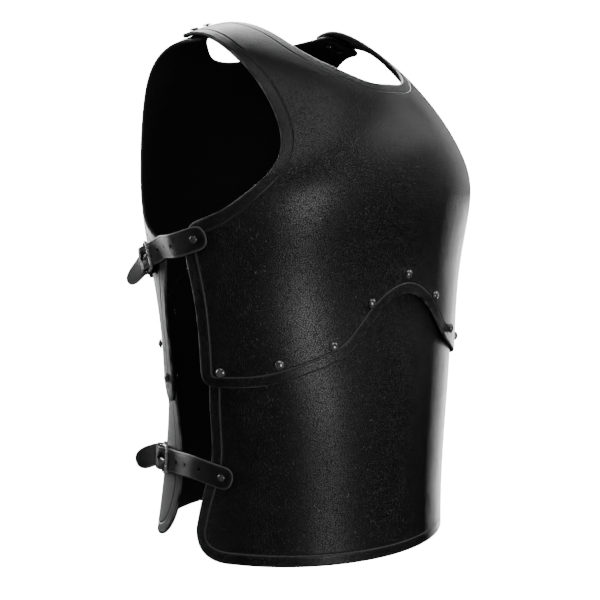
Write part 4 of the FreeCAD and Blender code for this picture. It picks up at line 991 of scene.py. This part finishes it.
for level in ("upper", "lower"):
    for side, sideName in ((-1, "right"), (1, "left")):
        node, name = sideName + "_" + level, sideName + level.capitalize()
        frontSpot, backSpot = [StrapSpot(form, side, fitting[key + "Shares"][level],
                                         fitting[key + "FallDeg"][level], plateTop[level])
                               for form, key in ((frontForm, "front"), (backForm, "back"))]

        # the strap with its tongue slot and spare holes
        route = StrapRoute(strapStops(level, frontSpot, backSpot))
        tipMark, heelMark = [route.marks[strapStop[key]] for key in ("tip", "bar")]
        loops = [stripLoop(route.end, halfStrap, halfStrap, fitting["tipRounding"], strapCut["edgeStep"])]
        slotHalf = fitting["prongWire"] / 2 + fitting["pivot"]
        loops.append(slotLoop(heelMark - fitting["slotLength"] + fitting["slotHeel"] + slotHalf,
                              heelMark + fitting["slotHeel"] - slotHalf * fitting["slotFoot"], slotHalf))
        for count in range(1, fitting["spareHoles"] + 1):
            mark = (heelMark + tipMark) / 2 - count * fitting["holePitch"]
            loops.append(slotLoop(mark, mark, fitting["hole"] / 2))
        piece = leatherPanel(name + "Strap", route.lifted, loops, strapCut)
        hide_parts(node + "_strap")
        startPoint, endPoint = [route.curves[0](route.marks[strapStop[key]]) * mm
                                for key in ("frontLie", "backLie")]
        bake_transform(piece)
        along, across, out = frontSpot.directions(0)
        rivetPiece(name + "StrapRivet", node + "_strap_rivet", "front",
                   [(frontSpot.point(0, strapSeat + leather["strap"] / 2 + seat), out)], smallRivet,
                   leather["strap"] + leather["plate"] + 3 * seat)

        # the folded tab round the hinge bar, with a slot for the prong
        tab = StrapRoute(tabStops(backSpot), folded=True)
        marks = np.linspace(0, tab.end, tabSlotWork["samples"])
        along, across, out = backSpot.directions(0)
        run = (tab.curves[0](marks) - backSpot.point(0, barHeight)) @ along
        opened = marks[run < wrapRadius + leather["tab"]]
        slotHalf = fitting["prongWire"] / 2 + fitting["tabSlot"]
        slotStart, slotEnd = opened[0] + slotHalf, opened[-1] - slotHalf
        slot = slotLoop(slotStart, slotEnd, slotHalf)
        half = len(slot) // 2
        straight = np.linspace(slotStart, slotEnd, tabSlotWork["steps"])[1:-1]
        slot = np.concatenate([slot[:half], np.stack([straight[::-1], straight * 0 + slotHalf], -1),
                               slot[half:], np.stack([straight, straight * 0 - slotHalf], -1)])
        edge = stripLoop(tab.end, halfStrap, fitting["tabRounding"], fitting["tabRounding"], tabCut["edgeStep"])
        piece = leatherPanel(name + "BuckleTab", tab.lifted, [edge, slot], tabCut)
        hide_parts(node + "_buckle_tab")
        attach(piece, "back")
        places = []
        tabTop = closedLayer + leather["tab"] / 2
        for number in range(2):
            run = fitting["tabRivetPlace"] + number * fitting["tabRivetPitch"]
            places.append((backSpot.point(run, tabTop + seat), backSpot.directions(run)[2]))
        rivetPiece(name + "TabRivets", node + "_tab_rivets", "back", places, smallRivet,
                   tabTop + leather["plate"] + 2 * seat)

        piece = keeperLoop(name + "Keeper", backSpot)
        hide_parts(node + "_keeper")
        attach(piece, node + "_keeper")
        for metalNode in (node + "_buckle_frame", node + "_buckle_prong"):
            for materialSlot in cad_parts[metalNode].material_slots:
                materialSlot.material = buckleMetal
        print(node, "strap fitted")


# A white room, in metres: only the camera sees it, so that the leather mirrors the softboxes alone.
room = {"halfWidth": 30.0, "wall": 24.0, "wallFoot": -0.5, "height": 22.0, "sides": 24,
        "shade": (0.95, 0.95, 0.95), "roughness": 0.9, "specular": 0.2, "glow": 16.0, "air": 1.0}


def paperSheet(name, corners, faces, materialName):
    material, nodes, links, shader = newMaterial(materialName)
    shader.inputs["Base Color"].default_value = (*room["shade"], 1)
    shader.inputs["Roughness"].default_value = room["roughness"]
    shader.inputs["Specular IOR Level"].default_value = room["specular"]
    shader.inputs["Emission Color"].default_value = (1, 1, 1, 1)
    shader.inputs["Emission Strength"].default_value = room["glow"]
    mesh = bpy.data.meshes.new(name)
    mesh.from_pydata(corners, [], faces)
    mesh.materials.append(material)
    sheet = linked(name, mesh)
    sheet.visible_glossy = sheet.visible_diffuse = sheet.visible_shadow = False


paperSheet("studioFloor", [(x * room["halfWidth"], y * room["halfWidth"], 0)
                           for x, y in ((-1, -1), (1, -1), (1, 1), (-1, 1))], [(0, 1, 2, 3)], "floorPaper")
sides = room["sides"]
turns = [2 * math.pi * k / sides for k in range(sides)]
paperSheet("studioBackdrop", [(room["wall"] * math.cos(turn), room["wall"] * math.sin(turn), height)
                              for height in (room["wallFoot"], room["height"]) for turn in turns],
           [(k, (k + 1) % sides, (k + 1) % sides + sides, k + sides) for k in range(sides)], "backdropPaper")

world = bpy.data.worlds.new("studioAir")
world.use_nodes = True
air = world.node_tree.nodes["Background"]
air.inputs["Color"].default_value = (1, 1, 1, 1)
air.inputs["Strength"].default_value = room["air"]
world.cycles_visibility.glossy = False
bpy.context.scene.world = world

# Softboxes look at the target: degrees from the front and up, metres away, and watts.
target = Vector((0.0, 0.0, 0.27))
softboxes = {
    "topBox": {"azimuth": -25.0, "elevation": 66.0, "far": 2.1, "size": (1.5, 1.2), "power": 9.0},
    "chestBox": {"azimuth": 54.0, "elevation": 32.0, "far": 2.3, "size": (1.6, 1.0), "power": 9.5},
    "sideBox": {"azimuth": 96.0, "elevation": 12.0, "far": 2.4, "size": (1.2, 1.0), "power": 4.5},
    "frontStrip": {"azimuth": -8.0, "elevation": -4.0, "far": 2.6, "size": (0.85, 1.1), "power": 15.5},
    "rimStrip": {"azimuth": 104.0, "elevation": -13.0, "far": 2.4, "size": (0.6, 0.8), "power": 13.0},
    "shoulderBox": {"azimuth": 134.0, "elevation": 38.0, "far": 2.2, "size": (1.5, 0.7), "power": 44.0},
    "backStrip": {"azimuth": -140.0, "elevation": 12.0, "far": 2.4, "size": (0.7, 1.6), "power": 16.0},
    "backRim": {"azimuth": -192.0, "elevation": 4.0, "far": 2.4, "size": (0.8, 1.3), "power": 34.0},
}
for name, box in softboxes.items():
    light = bpy.data.lights.new(name, "AREA")
    light.shape = "RECTANGLE"
    light.size, light.size_y = box["size"]
    light.energy = box["power"]
    lamp = linked(name, light)
    turn, rise = math.radians(box["azimuth"]), math.radians(box["elevation"])
    level = math.cos(rise)
    away = Vector((math.sin(turn) * level, -math.cos(turn) * level, math.sin(rise)))
    lamp.location = target + box["far"] * away
    lamp.rotation_euler = (target - lamp.location).to_track_quat("-Z", "Y").to_euler()
print("room and lights set")

# the photograph's own view
shot = {"azimuthDeg": -49.6, "pitchDeg": 7.27, "rollDeg": 1.74, "place": (-1.0966, -0.92365, 0.41207),
        "lens": 86.4, "sensor": 36.0, "shift": (0.0071, -0.0006)}
turn, pitch, roll = [math.radians(shot[key]) for key in ("azimuthDeg", "pitchDeg", "rollDeg")]
levelRight = Vector((math.cos(turn), math.sin(turn), 0))
levelAhead = Vector((-math.sin(turn), math.cos(turn), 0))
ahead = levelAhead * math.cos(pitch) - Vector((0, 0, math.sin(pitch)))
above = levelAhead * math.sin(pitch) + Vector((0, 0, math.cos(pitch)))
right = levelRight * math.cos(roll) + above * math.sin(roll)
upright = above * math.cos(roll) - levelRight * math.sin(roll)
view = Matrix((right, upright, -ahead)).transposed().to_4x4()
view.translation = Vector(shot["place"])
camera = linked("photoCamera", bpy.data.cameras.new("photoCamera"))
camera.data.lens, camera.data.sensor_width = shot["lens"], shot["sensor"]
camera.data.shift_x, camera.data.shift_y = shot["shift"]
camera.matrix_world = view
bpy.context.scene.camera = camera
